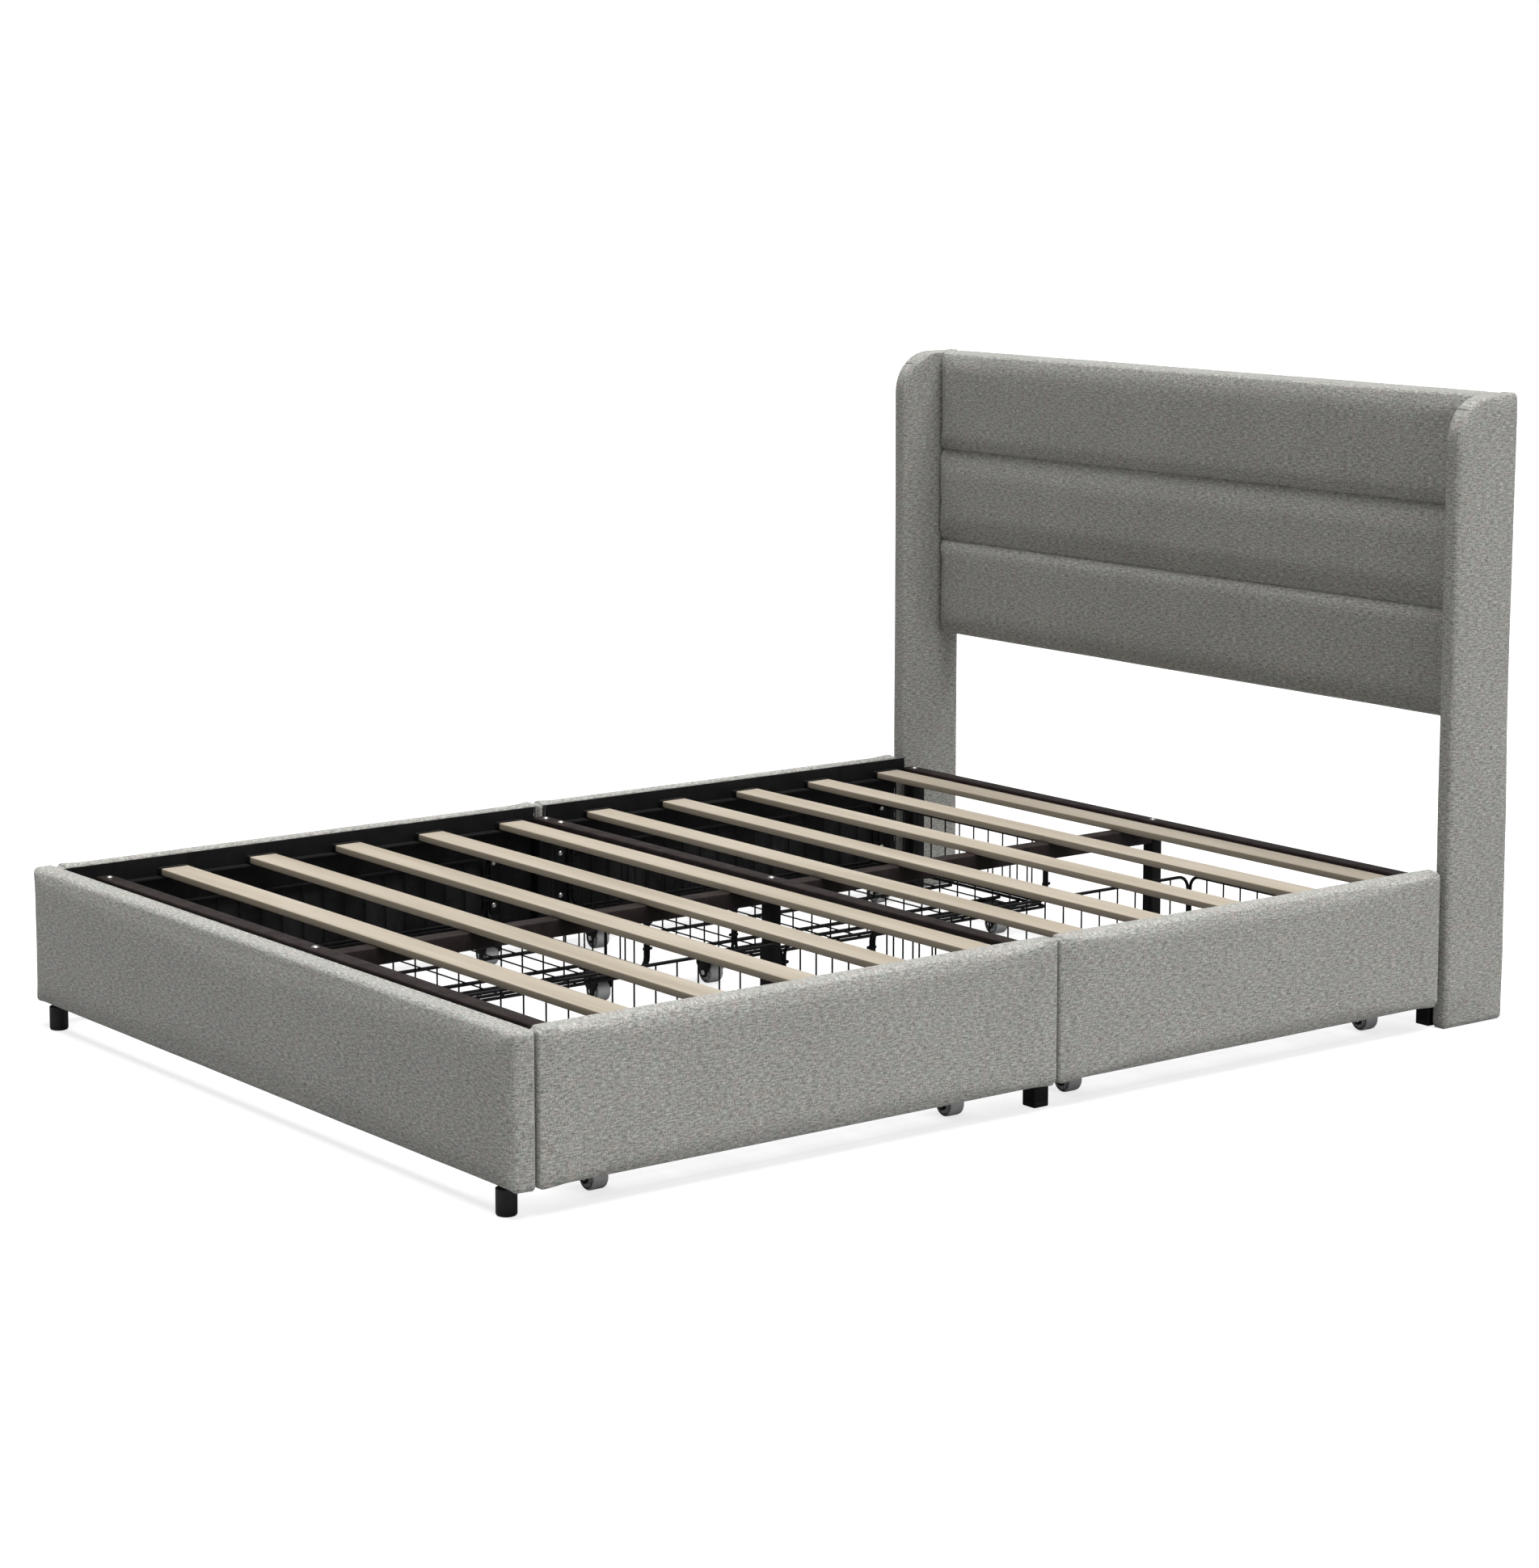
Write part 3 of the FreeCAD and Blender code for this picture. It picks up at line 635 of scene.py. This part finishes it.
def slat_cap_pattern():
    """Moulded end caps: an eased sleeve with a raised lip at its mouth and grip ribs on top."""
    p = Pattern("slat_caps", Length=CAP_LENGTH, Width=0.055, Thickness=0.015, Ease=2.5 * MM,
                Proud=CAP_LIP, Turn=Vector(), Finish=PLASTIC)
    g = p.given

    def sleeve(shrink, start, end):
        width = p.calc("SUBTRACT", g["Width"], shrink)
        thickness = p.calc("SUBTRACT", g["Thickness"], shrink)
        return p.bar(width, thickness, g["Ease"], p.times(g["Length"], start),
                     p.times(g["Length"], end))

    body = sleeve(p.times(g["Proud"], 2.0), -0.45, 0.5)
    lip = sleeve(0.0, -0.5, -0.32)
    rib = p.cylinder(8, p.times(g["Proud"], 1.1), p.times(g["Length"], 0.6))
    lying = p.moved(rib, turn=(0, math.pi / 2, 0))
    spacing = p.calc("DIVIDE", g["Width"], 8.0)
    row = p.row(7, p.vector(y=p.times(spacing, -3.0)), p.vector(y=spacing))
    top = p.calc("SUBTRACT", p.calc("DIVIDE", g["Thickness"], 2.0), g["Proud"])
    ribs = p.on_points(p.moved(row, p.vector(p.times(g["Length"], 0.12), z=top)), lying)
    return p.close(p.on_points(g["Geometry"], p.joined(body, lip, ribs), g["Turn"]))


def staple_pattern():
    """Wire staples that hold a backing cloth, one on each place, crown along X before turning."""
    p = Pattern("staples", Crown=10 * MM, Wire=0.55 * MM, Turn=Vector(), Finish=ZINC)
    g = p.given
    start, end = p.ends(g["Crown"])
    crown = p.rod(p.line(p.vector(start), p.vector(end)), g["Wire"], 6)
    return p.close(p.on_points(g["Geometry"], crown, g["Turn"]))


HEADS = button_head_pattern()
BASKET = basket_pattern()
STITCHES = stitch_pattern()
STAPLES = staple_pattern()
BOARDS = slat_pattern()
SLAT_CAPS = slat_cap_pattern()


# ==== Padded panels =================================================
def edge_marks(low, high, radius, steps=4):
    """Places along one side of a block: close together round its edges, even between them."""
    offsets = [radius * math.tan(math.pi / 4 * (1 - step / steps)) for step in range(steps)]
    flat = high - low - 2 * radius
    spans = max(1, round(flat / CLOTH_SPACING))
    inside = [low + radius + flat * step / spans for step in range(spans + 1)]
    return ([low + radius - offset for offset in offsets] + inside
            + [high - radius + offset for offset in reversed(offsets)])


def padded_block(low, high, radius):
    """A closed grid of quads over a box with rounded edges."""
    shape = bmesh.new()
    marks = [edge_marks(low[axis], high[axis], radius) for axis in range(3)]
    counts = [len(mark) for mark in marks]
    found = {}

    def corner(index):
        if index not in found:
            place = Vector(marks[axis][index[axis]] for axis in range(3))
            inner = Vector(min(max(place[axis], low[axis] + radius), high[axis] - radius)
                           for axis in range(3))
            out = place - inner
            found[index] = shape.verts.new(inner + out.normalized() * radius)
        return found[index]

    for axis in range(3):
        u, v = [other for other in range(3) if other != axis]
        for level in (0, counts[axis] - 1):
            for i in range(counts[u] - 1):
                for j in range(counts[v] - 1):
                    index = [0, 0, 0]
                    quad = []
                    for di, dj in ((0, 0), (1, 0), (1, 1), (0, 1)):
                        index[axis], index[u], index[v] = level, i + di, j + dj
                        quad.append(corner(tuple(index)))
                    shape.faces.new(quad)
    return shape


def round_corner(shape, y, z, toward_y, toward_z, radius):
    """Bends the square corner at (y, z), seen from the side, into an arc."""
    centre_y, centre_z = y - toward_y * radius, z - toward_z * radius
    for vertex in shape.verts:
        out_y = (vertex.co.y - centre_y) * toward_y
        out_z = (vertex.co.z - centre_z) * toward_z
        if out_y <= 0 or out_z <= 0:
            continue
        reach = max(out_y, out_z)
        length = math.hypot(out_y, out_z)
        vertex.co.y = centre_y + toward_y * out_y * reach / length
        vertex.co.z = centre_z + toward_z * out_z * reach / length


def stuffed(piece, held, most):
    """Blows the cover out against its foam by cloth simulation; held vertices stay on the board
    and no vertex moves further than most."""
    rest = [vertex.co.copy() for vertex in piece.data.vertices]
    group = piece.vertex_groups.new(name="held")
    group.add([vertex.index for vertex in piece.data.vertices if held(vertex.co)], 1.0, "REPLACE")
    cloth = piece.modifiers.new("cover", "CLOTH")
    rules = cloth.settings
    rules.quality = 4
    rules.mass = 0.35
    rules.tension_stiffness = rules.compression_stiffness = 25.0
    rules.shear_stiffness = 12.0
    rules.bending_stiffness = 3.0
    rules.vertex_group_mass = "held"
    rules.use_pressure = True
    rules.uniform_pressure_force = STUFFING_PRESSURE
    rules.effector_weights.gravity = 0.0
    cloth.collision_settings.use_collision = False
    cloth.point_cache.frame_start = 1
    cloth.point_cache.frame_end = STUFFING_FRAMES
    for step in range(1, STUFFING_FRAMES + 1):
        bpy.context.scene.frame_set(step)
    graph = bpy.context.evaluated_depsgraph_get()
    blown = piece.evaluated_get(graph).to_mesh()
    moved = [vertex.co.copy() for vertex in blown.vertices]
    piece.modifiers.clear()
    piece.vertex_groups.clear()
    bpy.context.scene.frame_set(1)
    for vertex, start, end in zip(piece.data.vertices, rest, moved):
        travel = end - start
        if travel.length > most:
            travel *= most / travel.length
        vertex.co = start + travel


def ripple(piece, held, seed):
    """Slow unevenness of cloth pulled over foam."""
    offset = Vector((seed * 7.3, seed * 3.1, seed * 5.7))
    normals = [vertex.normal.copy() for vertex in piece.data.vertices]
    for vertex, normal in zip(piece.data.vertices, normals):
        if not held(vertex.co):
            slow = noise.noise(vertex.co * 5.0 + offset)
            quick = noise.noise(vertex.co * 21.0 + offset)
            vertex.co += normal * RIPPLE * (0.75 * slow + 0.25 * quick)


def lay_cloth(piece):
    """A UV map in metres, each face laid flat from the side that it faces."""
    mesh = piece.data
    layer = mesh.uv_layers.new(name="cloth")
    for face in mesh.polygons:
        size = [abs(value) for value in face.normal]
        axis = size.index(max(size))
        u, v = ((1, 2), (0, 2), (0, 1))[axis]
        for loop in face.loop_indices:
            place = mesh.vertices[mesh.loops[loop].vertex_index].co
            layer.data[loop].uv = (place[u] + 0.37 * axis, place[v])


def upholster(name, shape, body, node, held, most, seed):
    """Turns a padded block into a finished cushion-like panel that stands for its CAD solid."""
    piece = from_bmesh(name, shape, LINEN)
    stuffed(piece, held, most)
    ripple(piece, held, seed)
    smooth = piece.modifiers.new("round", "SUBSURF")
    smooth.levels = smooth.render_levels = 1
    piece = applied(piece)
    lay_cloth(piece)
    settle(piece, body, "linen", node)


def drawer_front(drawer, sign, seed):
    node = drawer + "_drawer_front"
    low, high = corners(node)
    shape = padded_block(low, high, CLOTH_RADIUS)
    for toward_y, y in ((-1, low.y), (1, high.y)):
        for toward_z, z in ((-1, low.z), (1, high.z)):
            round_corner(shape, y, z, toward_y, toward_z, CORNER_RADIUS)
    back = low.x if sign > 0 else high.x

    def held(place):
        near_ends = min(place.y - low.y, high.y - place.y) < 3 * MM
        return abs(place.x - back) < 0.6 * CLOTH_RADIUS or near_ends

    upholster(drawer + "_front_cover", shape, drawer + "_drawer", node, held, 3 * MM, seed)


def footboard():
    low, high = corners("footboard")

    def held(place):
        return high.y - place.y < 0.6 * CLOTH_RADIUS

    shape = padded_block(low, high, CLOTH_RADIUS)
    upholster("footboard_cover", shape, "frame", "footboard", held, 3 * MM, 11)


def wing(side, seed):
    node = side + "_wing"
    low, high = corners(node)
    shape = padded_block(low, high, CLOTH_RADIUS * 0.8)
    round_corner(shape, low.y, high.z, -1, 1, WING_CORNER)
    inner = low.x if SIDES[side] > 0 else high.x

    def held(place):
        behind = abs(place.x - inner) < 1 * MM and place.y > low.y + 60 * MM
        return behind or place.z < low.z + 1 * MM or high.y - place.y < 1 * MM

    upholster(node + "_cover", shape, "frame", node, held, 2.5 * MM, seed)


def headboard():
    """Three channels swell between two stitched seams that are drawn back to the board."""
    low, high = corners("headboard_panel")
    low.x += HEADBOARD_SIDE_GAP
    high.x -= HEADBOARD_SIDE_GAP
    shape = padded_block(low, high, CLOTH_RADIUS * 0.6)
    cuts = [z + side * step for z in SEAM_HEIGHTS for side in (-1, 1) for step in SEAM_GRID]
    for height in cuts + list(SEAM_HEIGHTS):
        everything = list(shape.verts) + list(shape.edges) + list(shape.faces)
        bmesh.ops.bisect_plane(shape, geom=everything, dist=1e-6, plane_co=(0, 0, height),
                               plane_no=(0, 0, 1))
    edges = (low.z,) + SEAM_HEIGHTS + (high.z,)
    for vertex in shape.verts:
        nearest = min(min(abs(vertex.co.z - edge) for edge in edges), SEAM_SHOULDER)
        dip = SEAM_DEPTH * (1 - math.sqrt(1 - (1 - nearest / SEAM_SHOULDER) ** 2))
        share = min(1.0, max(0.0, (high.y - vertex.co.y) / (high.y - low.y)))
        vertex.co.y += dip * share

    def held(place):
        on_seam = min(abs(place.z - seam) for seam in SEAM_HEIGHTS) < 2 * MM
        return on_seam or high.y - place.y < 1 * MM

    upholster("headboard_cover", shape, "frame", "headboard_panel", held, 4 * MM, 5)
    count = int((high.x - low.x) / STITCH_PITCH)
    depth = low.y + SEAM_DEPTH - 0.6 * MM
    places = [(low.x + step * STITCH_PITCH, depth, seam) for seam in SEAM_HEIGHTS
              for step in range(1, count)]
    settle(STITCHES.make("headboard_stitches", places), "frame", "linen")


# ==== Backing cloths ================================================
def backing(name, body, low, high, outward):
    """A thin black cloth over a panel's hidden face, inset from its edges, and its staples.
    low and high bound it in 3-D and are equal along the axis of outward."""
    axis = [index for index in range(3) if outward[index]][0]
    sign = outward[axis]
    u, v = [other for other in range(3) if other != axis]
    flat = [high[along] - low[along] - 2 * BACKING_INSET for along in (u, v)]
    spans = [max(2, round((high[along] - low[along]) / BACKING_GRID)) for along in (u, v)]
    shape = bmesh.new()
    grid = []
    for i in range(spans[0] + 1):
        column = []
        for j in range(spans[1] + 1):
            place = Vector(low)
            place[u] = low[u] + BACKING_INSET + flat[0] * i / spans[0]
            place[v] = low[v] + BACKING_INSET + flat[1] * j / spans[1]
            place[axis] += sign * (0.2 * MM + 0.12 * MM * noise.noise(place * 14.0))
            column.append(shape.verts.new(place))
        grid.append(column)
    for i in range(spans[0]):
        for j in range(spans[1]):
            shape.faces.new((grid[i][j], grid[i + 1][j], grid[i + 1][j + 1], grid[i][j + 1]))
    sheet = from_bmesh(name, shape, BACKING)
    wall = sheet.modifiers.new("wall", "SOLIDIFY")
    wall.thickness = 0.5 * MM
    wall.offset = 0.0
    sheet = applied(sheet)
    settle(sheet, body, "linen")
    staples(name, body, low, high, (axis, u, v), sign)


def staples(name, body, low, high, axes, sign):
    """Staples round the edge of a backing cloth, each lying along its edge."""
    axis, u, v = axes
    edge = BACKING_INSET + STAPLE_EDGE
    turns = ((0, 0, 0), (0, 0, math.pi / 2), (0, math.pi / 2, 0))
    for along, across in ((u, v), (v, u)):
        length = high[along] - low[along]
        count = max(2, round((length - 2 * edge) / STAPLE_PITCH))
        places = []
        for level in (low[across] + edge, high[across] - edge):
            for step in range(count + 1):
                place = Vector(low)
                place[across] = level
                place[along] = low[along] + edge * 2 + (length - 4 * edge) * step / count
                place[axis] += sign * 0.7 * MM
                places.append(place)
        row = STAPLES.make("%s_staples_%s" % (name, "xyz"[along]), places, Turn=Vector(turns[along]))
        settle(row, body, "zinc_steel")


def drawer_backing(drawer, sign):
    low, high = corners(drawer + "_drawer_front")
    low.x = high.x = low.x if sign > 0 else high.x
    backing(drawer + "_front_backing", drawer + "_drawer", low, high, (-sign, 0, 0))


def headboard_backing():
    low, high = corners("headboard_panel")
    low.y = high.y
    backing("headboard_backing", "frame", low, high, (0, 1, 0))


# ==== Frame =========================================================
def tube(node, axis, slot):
    """A square tube with rounded corners, open at both ends along X or Y."""
    low, high = corners(node)
    u, v = [other for other in range(3) if other != axis]
    rings = []
    for inset, ends in ((0.0, (low[axis], high[axis])), (TUBE_WALL, (high[axis], low[axis]))):
        outline = rounded_rectangle((low[u] + inset, low[v] + inset),
                                    (high[u] - inset, high[v] - inset),
                                    max(TUBE_CORNER - inset, 1 * MM))
        rings += [ring_at(outline, axis, end) for end in ends]
    shape = bmesh.new()
    ring_loft(shape, rings, closed=True)
    settle(from_bmesh(node + "_tube", shape, BAR_STEEL, sharp=50), "frame", slot, node)


def steel_frame():
    for node in CROSSBARS:
        tube(node, 0, "bar_steel")
    for node in CENTRE_BEAMS:
        tube(node, 1, "black_steel")


def leg(shape, low, high):
    """A square leg with rounded corners on a plastic foot with an eased underside."""
    outline = rounded_rectangle(low, high, TUBE_CORNER)
    ease = Vector((1 * MM, 1 * MM, 0))
    narrow = rounded_rectangle(low + ease, high - ease, 2 * MM)
    middle = low.z + LEG_FOOT
    for bottom, top, first, material in ((middle, high.z, outline, 0), (low.z, middle, narrow, 1)):
        levels = [(bottom, first), (bottom + FOOT_EASE, outline), (top, outline)]
        rings = [ring_at(ring, 2, z) for z, ring in levels]
        ring_loft(shape, rings, capped=True, material=material)


def square_legs():
    side_low, side_high = corners("side_legs")
    mid_low, mid_high = corners("mid_crossbar")
    shape = bmesh.new()
    for sign in (-1, 1):
        x0, x1 = sorted((sign * (side_high.x - LEG_SIZE), sign * side_high.x))
        leg(shape, Vector((x0, side_low.y, 0)), Vector((x1, side_low.y + LEG_SIZE, mid_low.z)))
        leg(shape, Vector((x0, side_high.y - LEG_SIZE, 0)), Vector((x1, side_high.y, side_high.z)))
    piece = from_bmesh("side_leg_tubes", shape, BLACK_STEEL, PLASTIC, sharp=50)
    settle(piece, "frame", "black_steel", "side_legs")

    low, high = corners("centre_legs")
    width = high.x - low.x
    shape = bmesh.new()
    for y in (low.y, (mid_low.y + mid_high.y) / 2 - width / 2, high.y - width):
        leg(shape, Vector((low.x, y, 0)), Vector((high.x, y + width, high.z)))
    piece = from_bmesh("centre_leg_tubes", shape, BLACK_STEEL, PLASTIC, sharp=50)
    settle(piece, "frame", "black_steel", "centre_legs")


def round_legs():
    """Two turned legs under the footboard, each with a rounded glide."""
    low, high = corners("footboard_legs")
    radius = (high.y - low.y) / 2
    profile = [(0.0, radius * 0.80), (0.8 * MM, radius * 0.92), (2.4 * MM, radius * 0.94),
               (2.6 * MM, radius * 0.985), (3.6 * MM, radius), (high.z - 0.2 * MM, radius)]
    shape = bmesh.new()
    for x in (low.x + radius, high.x - radius):
        turned(shape, profile, Vector((x, (low.y + high.y) / 2, 0)), 2, 48)
    piece = from_bmesh("footboard_round_legs", shape, PLASTIC, sharp=35)
    settle(piece, "frame", "leg_plastic", "footboard_legs")


def frame_bolts():
    places = []
    for node in CROSSBARS:
        low, high = corners(node)
        y = (low.y + high.y) / 2
        reaches = [high.x - BOLT_INSET]
        if node == "mid_crossbar":
            reaches.append(high.x - BOLT_INSET - BOLT_PAIR)
        places.append((0.0, y, high.z))
        places += [(sign * reach, y, high.z) for sign in (-1, 1) for reach in reaches]
    settle(HEADS.make("frame_bolt_heads", places), "frame", "zinc_steel", "frame_bolts")


# ==== Drawers =======================================================
def basket(drawer, sign):
    node = drawer + "_basket"
    low, high = corners(node)
    floor = low.z + 2 * BRACE_ROD + WIRE_ROD - WELD
    middle = (low + high) / 2
    middle.z = floor
    inner_edge = low.x if sign > 0 else high.x
    braces = [inner_edge + sign * MIDDLE_BRACE]
    for column in ("inner", "outer"):
        wheel_low, wheel_high = corners("%s_wheel_foot_%s" % (drawer, column))
        wheel = (wheel_low.x + wheel_high.x) / 2
        braces += [wheel - BRACE_SPREAD, wheel + BRACE_SPREAD]
    rod = 2 * FRAME_ROD
    piece = BASKET.make(node + "_wires", [(x, middle.y, low.z + BRACE_ROD) for x in braces],
                        Middle=middle, Depth=high.x - low.x - rod, Length=high.y - low.y - rod,
                        Height=high.z - floor - 2 * rod + RIM_LIFT)
    settle(piece, drawer + "_drawer", "wire_steel", node)


def brackets(drawer, sign):
    """Angle brackets with rounded edges and the screws that hold them to the front."""
    node = drawer + "_basket_brackets"
    low, high = corners(node)
    front_low, front_high = corners(drawer + "_drawer_front")
    basket_low, basket_high = corners(drawer + "_basket")
    face = front_low.x if sign > 0 else front_high.x
    wall, reach = face - sign * BRACKET_WALL, face - sign * BRACKET_REACH
    shape = bmesh.new()
    for edge, free in ((basket_low.y, low.y), (basket_high.y, high.y)):
        outer = edge + math.copysign(BRACKET_WALL, free - edge)
        section = [(face, edge), (face, free), (wall, free), (wall, outer), (reach, outer),
                   (reach, edge)]
        block(shape, section, 2, (low.z, high.z))
    piece = softened(from_bmesh(node + "_plates", shape, BLACK_STEEL), 0.6 * MM)
    settle(piece, drawer + "_drawer", "bracket_steel", node)
    places = [(wall, y, z) for y in (low.y + SCREW_INSET, high.y - SCREW_INSET)
              for z in SCREW_HEIGHTS]
    heads = HEADS.make(drawer + "_front_screws", places, Radius=SCREW_HEAD,
                       Rise=SCREW_RISE, Turn=Vector((0, -sign * math.pi / 2, 0)))
    settle(heads, drawer + "_drawer", "zinc_steel")


def caster_fork(shape, wheel_low, wheel_high, top):
    """Pressed fork: a riveted plate with rounded corners, two tapering cheeks and a pin."""
    centre = (wheel_low + wheel_high) / 2
    plate = rounded_rectangle(centre.xy - PLATE_HALF, centre.xy + PLATE_HALF, PLATE_CORNER)
    block(shape, plate, 2, (top - PLATE_WALL, top))
    waist, hidden = centre.z + CHEEK_WAIST, top - 2.5 * MM
    outline = [(centre.x - CHEEK_TOP, hidden), (centre.x - CHEEK_TOP, waist)]
    for step in range(9):
        angle = math.pi + math.pi * step / 8
        outline.append((centre.x + CHEEK_TIP * math.cos(angle),
                        centre.z + CHEEK_TIP * math.sin(angle)))
    outline += [(centre.x + CHEEK_TOP, waist), (centre.x + CHEEK_TOP, hidden)]
    inner = (wheel_high.y - wheel_low.y) / 2 + CHEEK_GAP
    half = inner + CHEEK_WALL
    for sign in (-1, 1):
        block(shape, outline, 1, (centre.y + sign * inner, centre.y + sign * half))
    head = [(half, PIN), (half, 5 * MM), (half + 0.9 * MM, 4.8 * MM), (half + 1.5 * MM, 3.2 * MM)]
    profile = [(-distance, radius) for distance, radius in reversed(head)] + head
    turned(shape, profile, centre, 1, 24, material=1)
    rivet = [(-1.6 * MM, 1.6 * MM), (-1.2 * MM, 2.8 * MM), (0.0, 3.2 * MM)]
    for x in (centre.x - RIVET_HALF.x, centre.x + RIVET_HALF.x):
        for y in (centre.y - RIVET_HALF.y, centre.y + RIVET_HALF.y):
            turned(shape, rivet, Vector((x, y, top - PLATE_WALL)), 2, 12, material=1)


def caster_forks(drawer):
    top = corners(drawer + "_basket")[0].z
    shape = bmesh.new()
    for wheel in WHEELS:
        wheel_low, wheel_high = corners("%s_wheel_%s" % (drawer, wheel))
        caster_fork(shape, wheel_low, wheel_high, top)
    piece = softened(from_bmesh(drawer + "_fork_set", shape, BLACK_STEEL, ZINC), 0.5 * MM)
    settle(piece, drawer + "_drawer", "fork_steel", drawer + "_caster_forks")


def roller(name):
    """A moulded roller: crowned tread, dished sides, a hub, ribs and a dark ring a side."""
    low, high = corners(name)
    centre = (low + high) / 2
    radius = (high.z - low.z) / 2
    half = (high.y - low.y) / 2
    shape = bmesh.new()
    side = [(-half, BORE), (-half, HUB), (-half + 0.4 * MM, HUB + 0.4 * MM),
            (-half + 3.5 * MM, HUB + 0.8 * MM), (-half + 3.5 * MM, radius - 5.2 * MM),
            (-half + 0.8 * MM, radius - 4.4 * MM), (-half + 0.4 * MM, radius - 2.6 * MM),
            (-half + 0.9 * MM, radius - 1.6 * MM), (-half + 2.2 * MM, radius - 0.5 * MM),
            (-half + 4.5 * MM, radius)]
    profile = side + [(-distance, reach) for distance, reach in reversed(side)]
    turned(shape, profile, centre, 1, 40, closed=True)
    for face in shape.faces:
        middle = face.calc_center_median() - centre
        reach = math.hypot(middle.x, middle.z)
        if radius - 4.6 * MM < reach < radius - 2.4 * MM and abs(middle.y) > half - 1 * MM:
            face.material_index = 1
    inner, outer = HUB + 0.3 * MM, radius - 4.9 * MM
    rib = [(-RIB_HALF, inner), (RIB_HALF, inner), (RIB_HALF, outer), (-RIB_HALF, outer)]
    for sign in (-1, 1):
        for step in range(RIBS):
            turn = Matrix.Rotation(2 * math.pi * step / RIBS, 4, "Y")
            levels = sorted((sign * (half - 3.6 * MM), sign * (half - 0.8 * MM)))
            rings = [[centre + turn @ place for place in ring_at(rib, 1, y)] for y in levels]
            ring_loft(shape, rings, capped=True)
    piece = from_bmesh(name + "_roller", shape, ROLLER, PLASTIC, sharp=38)
    settle(piece, name, "wheel_plastic", name)


# ==== Slats and rails ===============================================
def slats():
    boxes = [corners(node) for node in SLATS]
    low, high = boxes[0]
    places = [(start + end) / 2 for start, end in boxes]
    boards = BOARDS.make("slat_boards", places, Width=high.y - low.y, Thickness=high.z - low.z,
                         Length=high.x - low.x - CAP_LENGTH)
    settle(boards, "frame", "slat_wood", *SLATS)

    cap_low, cap_high = corners("slat_end_caps")
    thickness = cap_high.z - cap_low.z
    width = high.y - low.y + thickness - (high.z - low.z)
    lift = (cap_low.z + cap_high.z) / 2
    reach = cap_high.x - CAP_LENGTH / 2
    for side, sign in SIDES.items():
        mouths = [(sign * reach, place.y, lift) for place in places]
        caps = SLAT_CAPS.make(side + "_slat_caps", mouths, Width=width, Thickness=thickness,
                              Turn=Vector((0, 0, 0 if sign > 0 else math.pi)))
        settle(caps, "frame", "cap_plastic", "slat_end_caps")


def rails():
    """The folded steel rails keep their CAD shape."""
    for quarter in QUARTERS:
        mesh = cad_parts[quarter + "_rail"].data
        mesh.materials.clear()
        mesh.materials.append(BLACK_STEEL)


# ==== Studio ========================================================
def floor():
    shape = bmesh.new()
    for x, y in ((-14, -14), (14, -14), (14, 14), (-14, 14)):
        shape.verts.new((x, y, -0.2 * MM))
    shape.faces.new(shape.verts)
    from_bmesh("studio_floor", shape, studio_floor())


def lights():
    world = bpy.data.worlds.new("studio")
    world.use_nodes = True
    bpy.context.scene.world = world
    nodes, links = world.node_tree.nodes, world.node_tree.links
    ambient = nodes["Background"]
    ambient.inputs["Color"].default_value = (1.0, 1.0, 1.0, 1.0)
    ambient.inputs["Strength"].default_value = 0.31
    backdrop = nodes.new("ShaderNodeBackground")
    backdrop.inputs["Color"].default_value = (1.0, 1.0, 1.0, 1.0)
    seen = nodes.new("ShaderNodeLightPath")
    mix = nodes.new("ShaderNodeMixShader")
    links.new(seen.outputs["Is Camera Ray"], mix.inputs["Fac"])
    links.new(ambient.outputs["Background"], mix.inputs[1])
    links.new(backdrop.outputs["Background"], mix.inputs[2])
    links.new(mix.outputs["Shader"], nodes["World Output"].inputs["Surface"])
    for name, direction, strength, softness in (("key", (0.22, 0.03, 0.97), 5.2, 45),
                                                ("side", (0.9, 0.1, 0.42), 0.35, 60)):
        lamp = bpy.data.lights.new(name, "SUN")
        lamp.energy = strength
        lamp.angle = math.radians(softness)
        holder = bpy.data.objects.new(name, lamp)
        holder.rotation_mode = "QUATERNION"
        holder.rotation_quaternion = Vector(direction).to_track_quat("Z", "Y")
        bpy.context.scene.collection.objects.link(holder)
    bpy.context.scene.view_settings.view_transform = "Standard"


def camera():
    """A long lens from the foot's right-hand corner, tilted a little down."""
    view = bpy.data.cameras.new("camera")
    view.lens = 87.52
    view.sensor_width = 36.0
    view.shift_y = -0.1
    holder = bpy.data.objects.new("camera", view)
    azimuth, tilt = math.radians(52.717), math.radians(7.778)
    back = Vector((math.sin(azimuth) * math.cos(tilt), -math.cos(azimuth) * math.cos(tilt),
                   math.sin(tilt)))
    holder.location = (5.0586, -3.8539, 1.5482)
    holder.rotation_mode = "QUATERNION"
    holder.rotation_quaternion = (-back).to_track_quat("-Z", "Y")
    bpy.context.scene.collection.objects.link(holder)
    bpy.context.scene.camera = holder


# ==== The bed =======================================================
camera()
lights()
floor()
rails()
slats()
headboard()
headboard_backing()
wing("right", 1)
wing("left", 2)
footboard()
steel_frame()
square_legs()
round_legs()
frame_bolts()
for number, (drawer, outward) in enumerate(QUARTERS.items()):
    drawer_front(drawer, outward, 20 + number)
    drawer_backing(drawer, outward)
    basket(drawer, outward)
    brackets(drawer, outward)
    caster_forks(drawer)
    for wheel in WHEELS:
        roller("%s_wheel_%s" % (drawer, wheel))
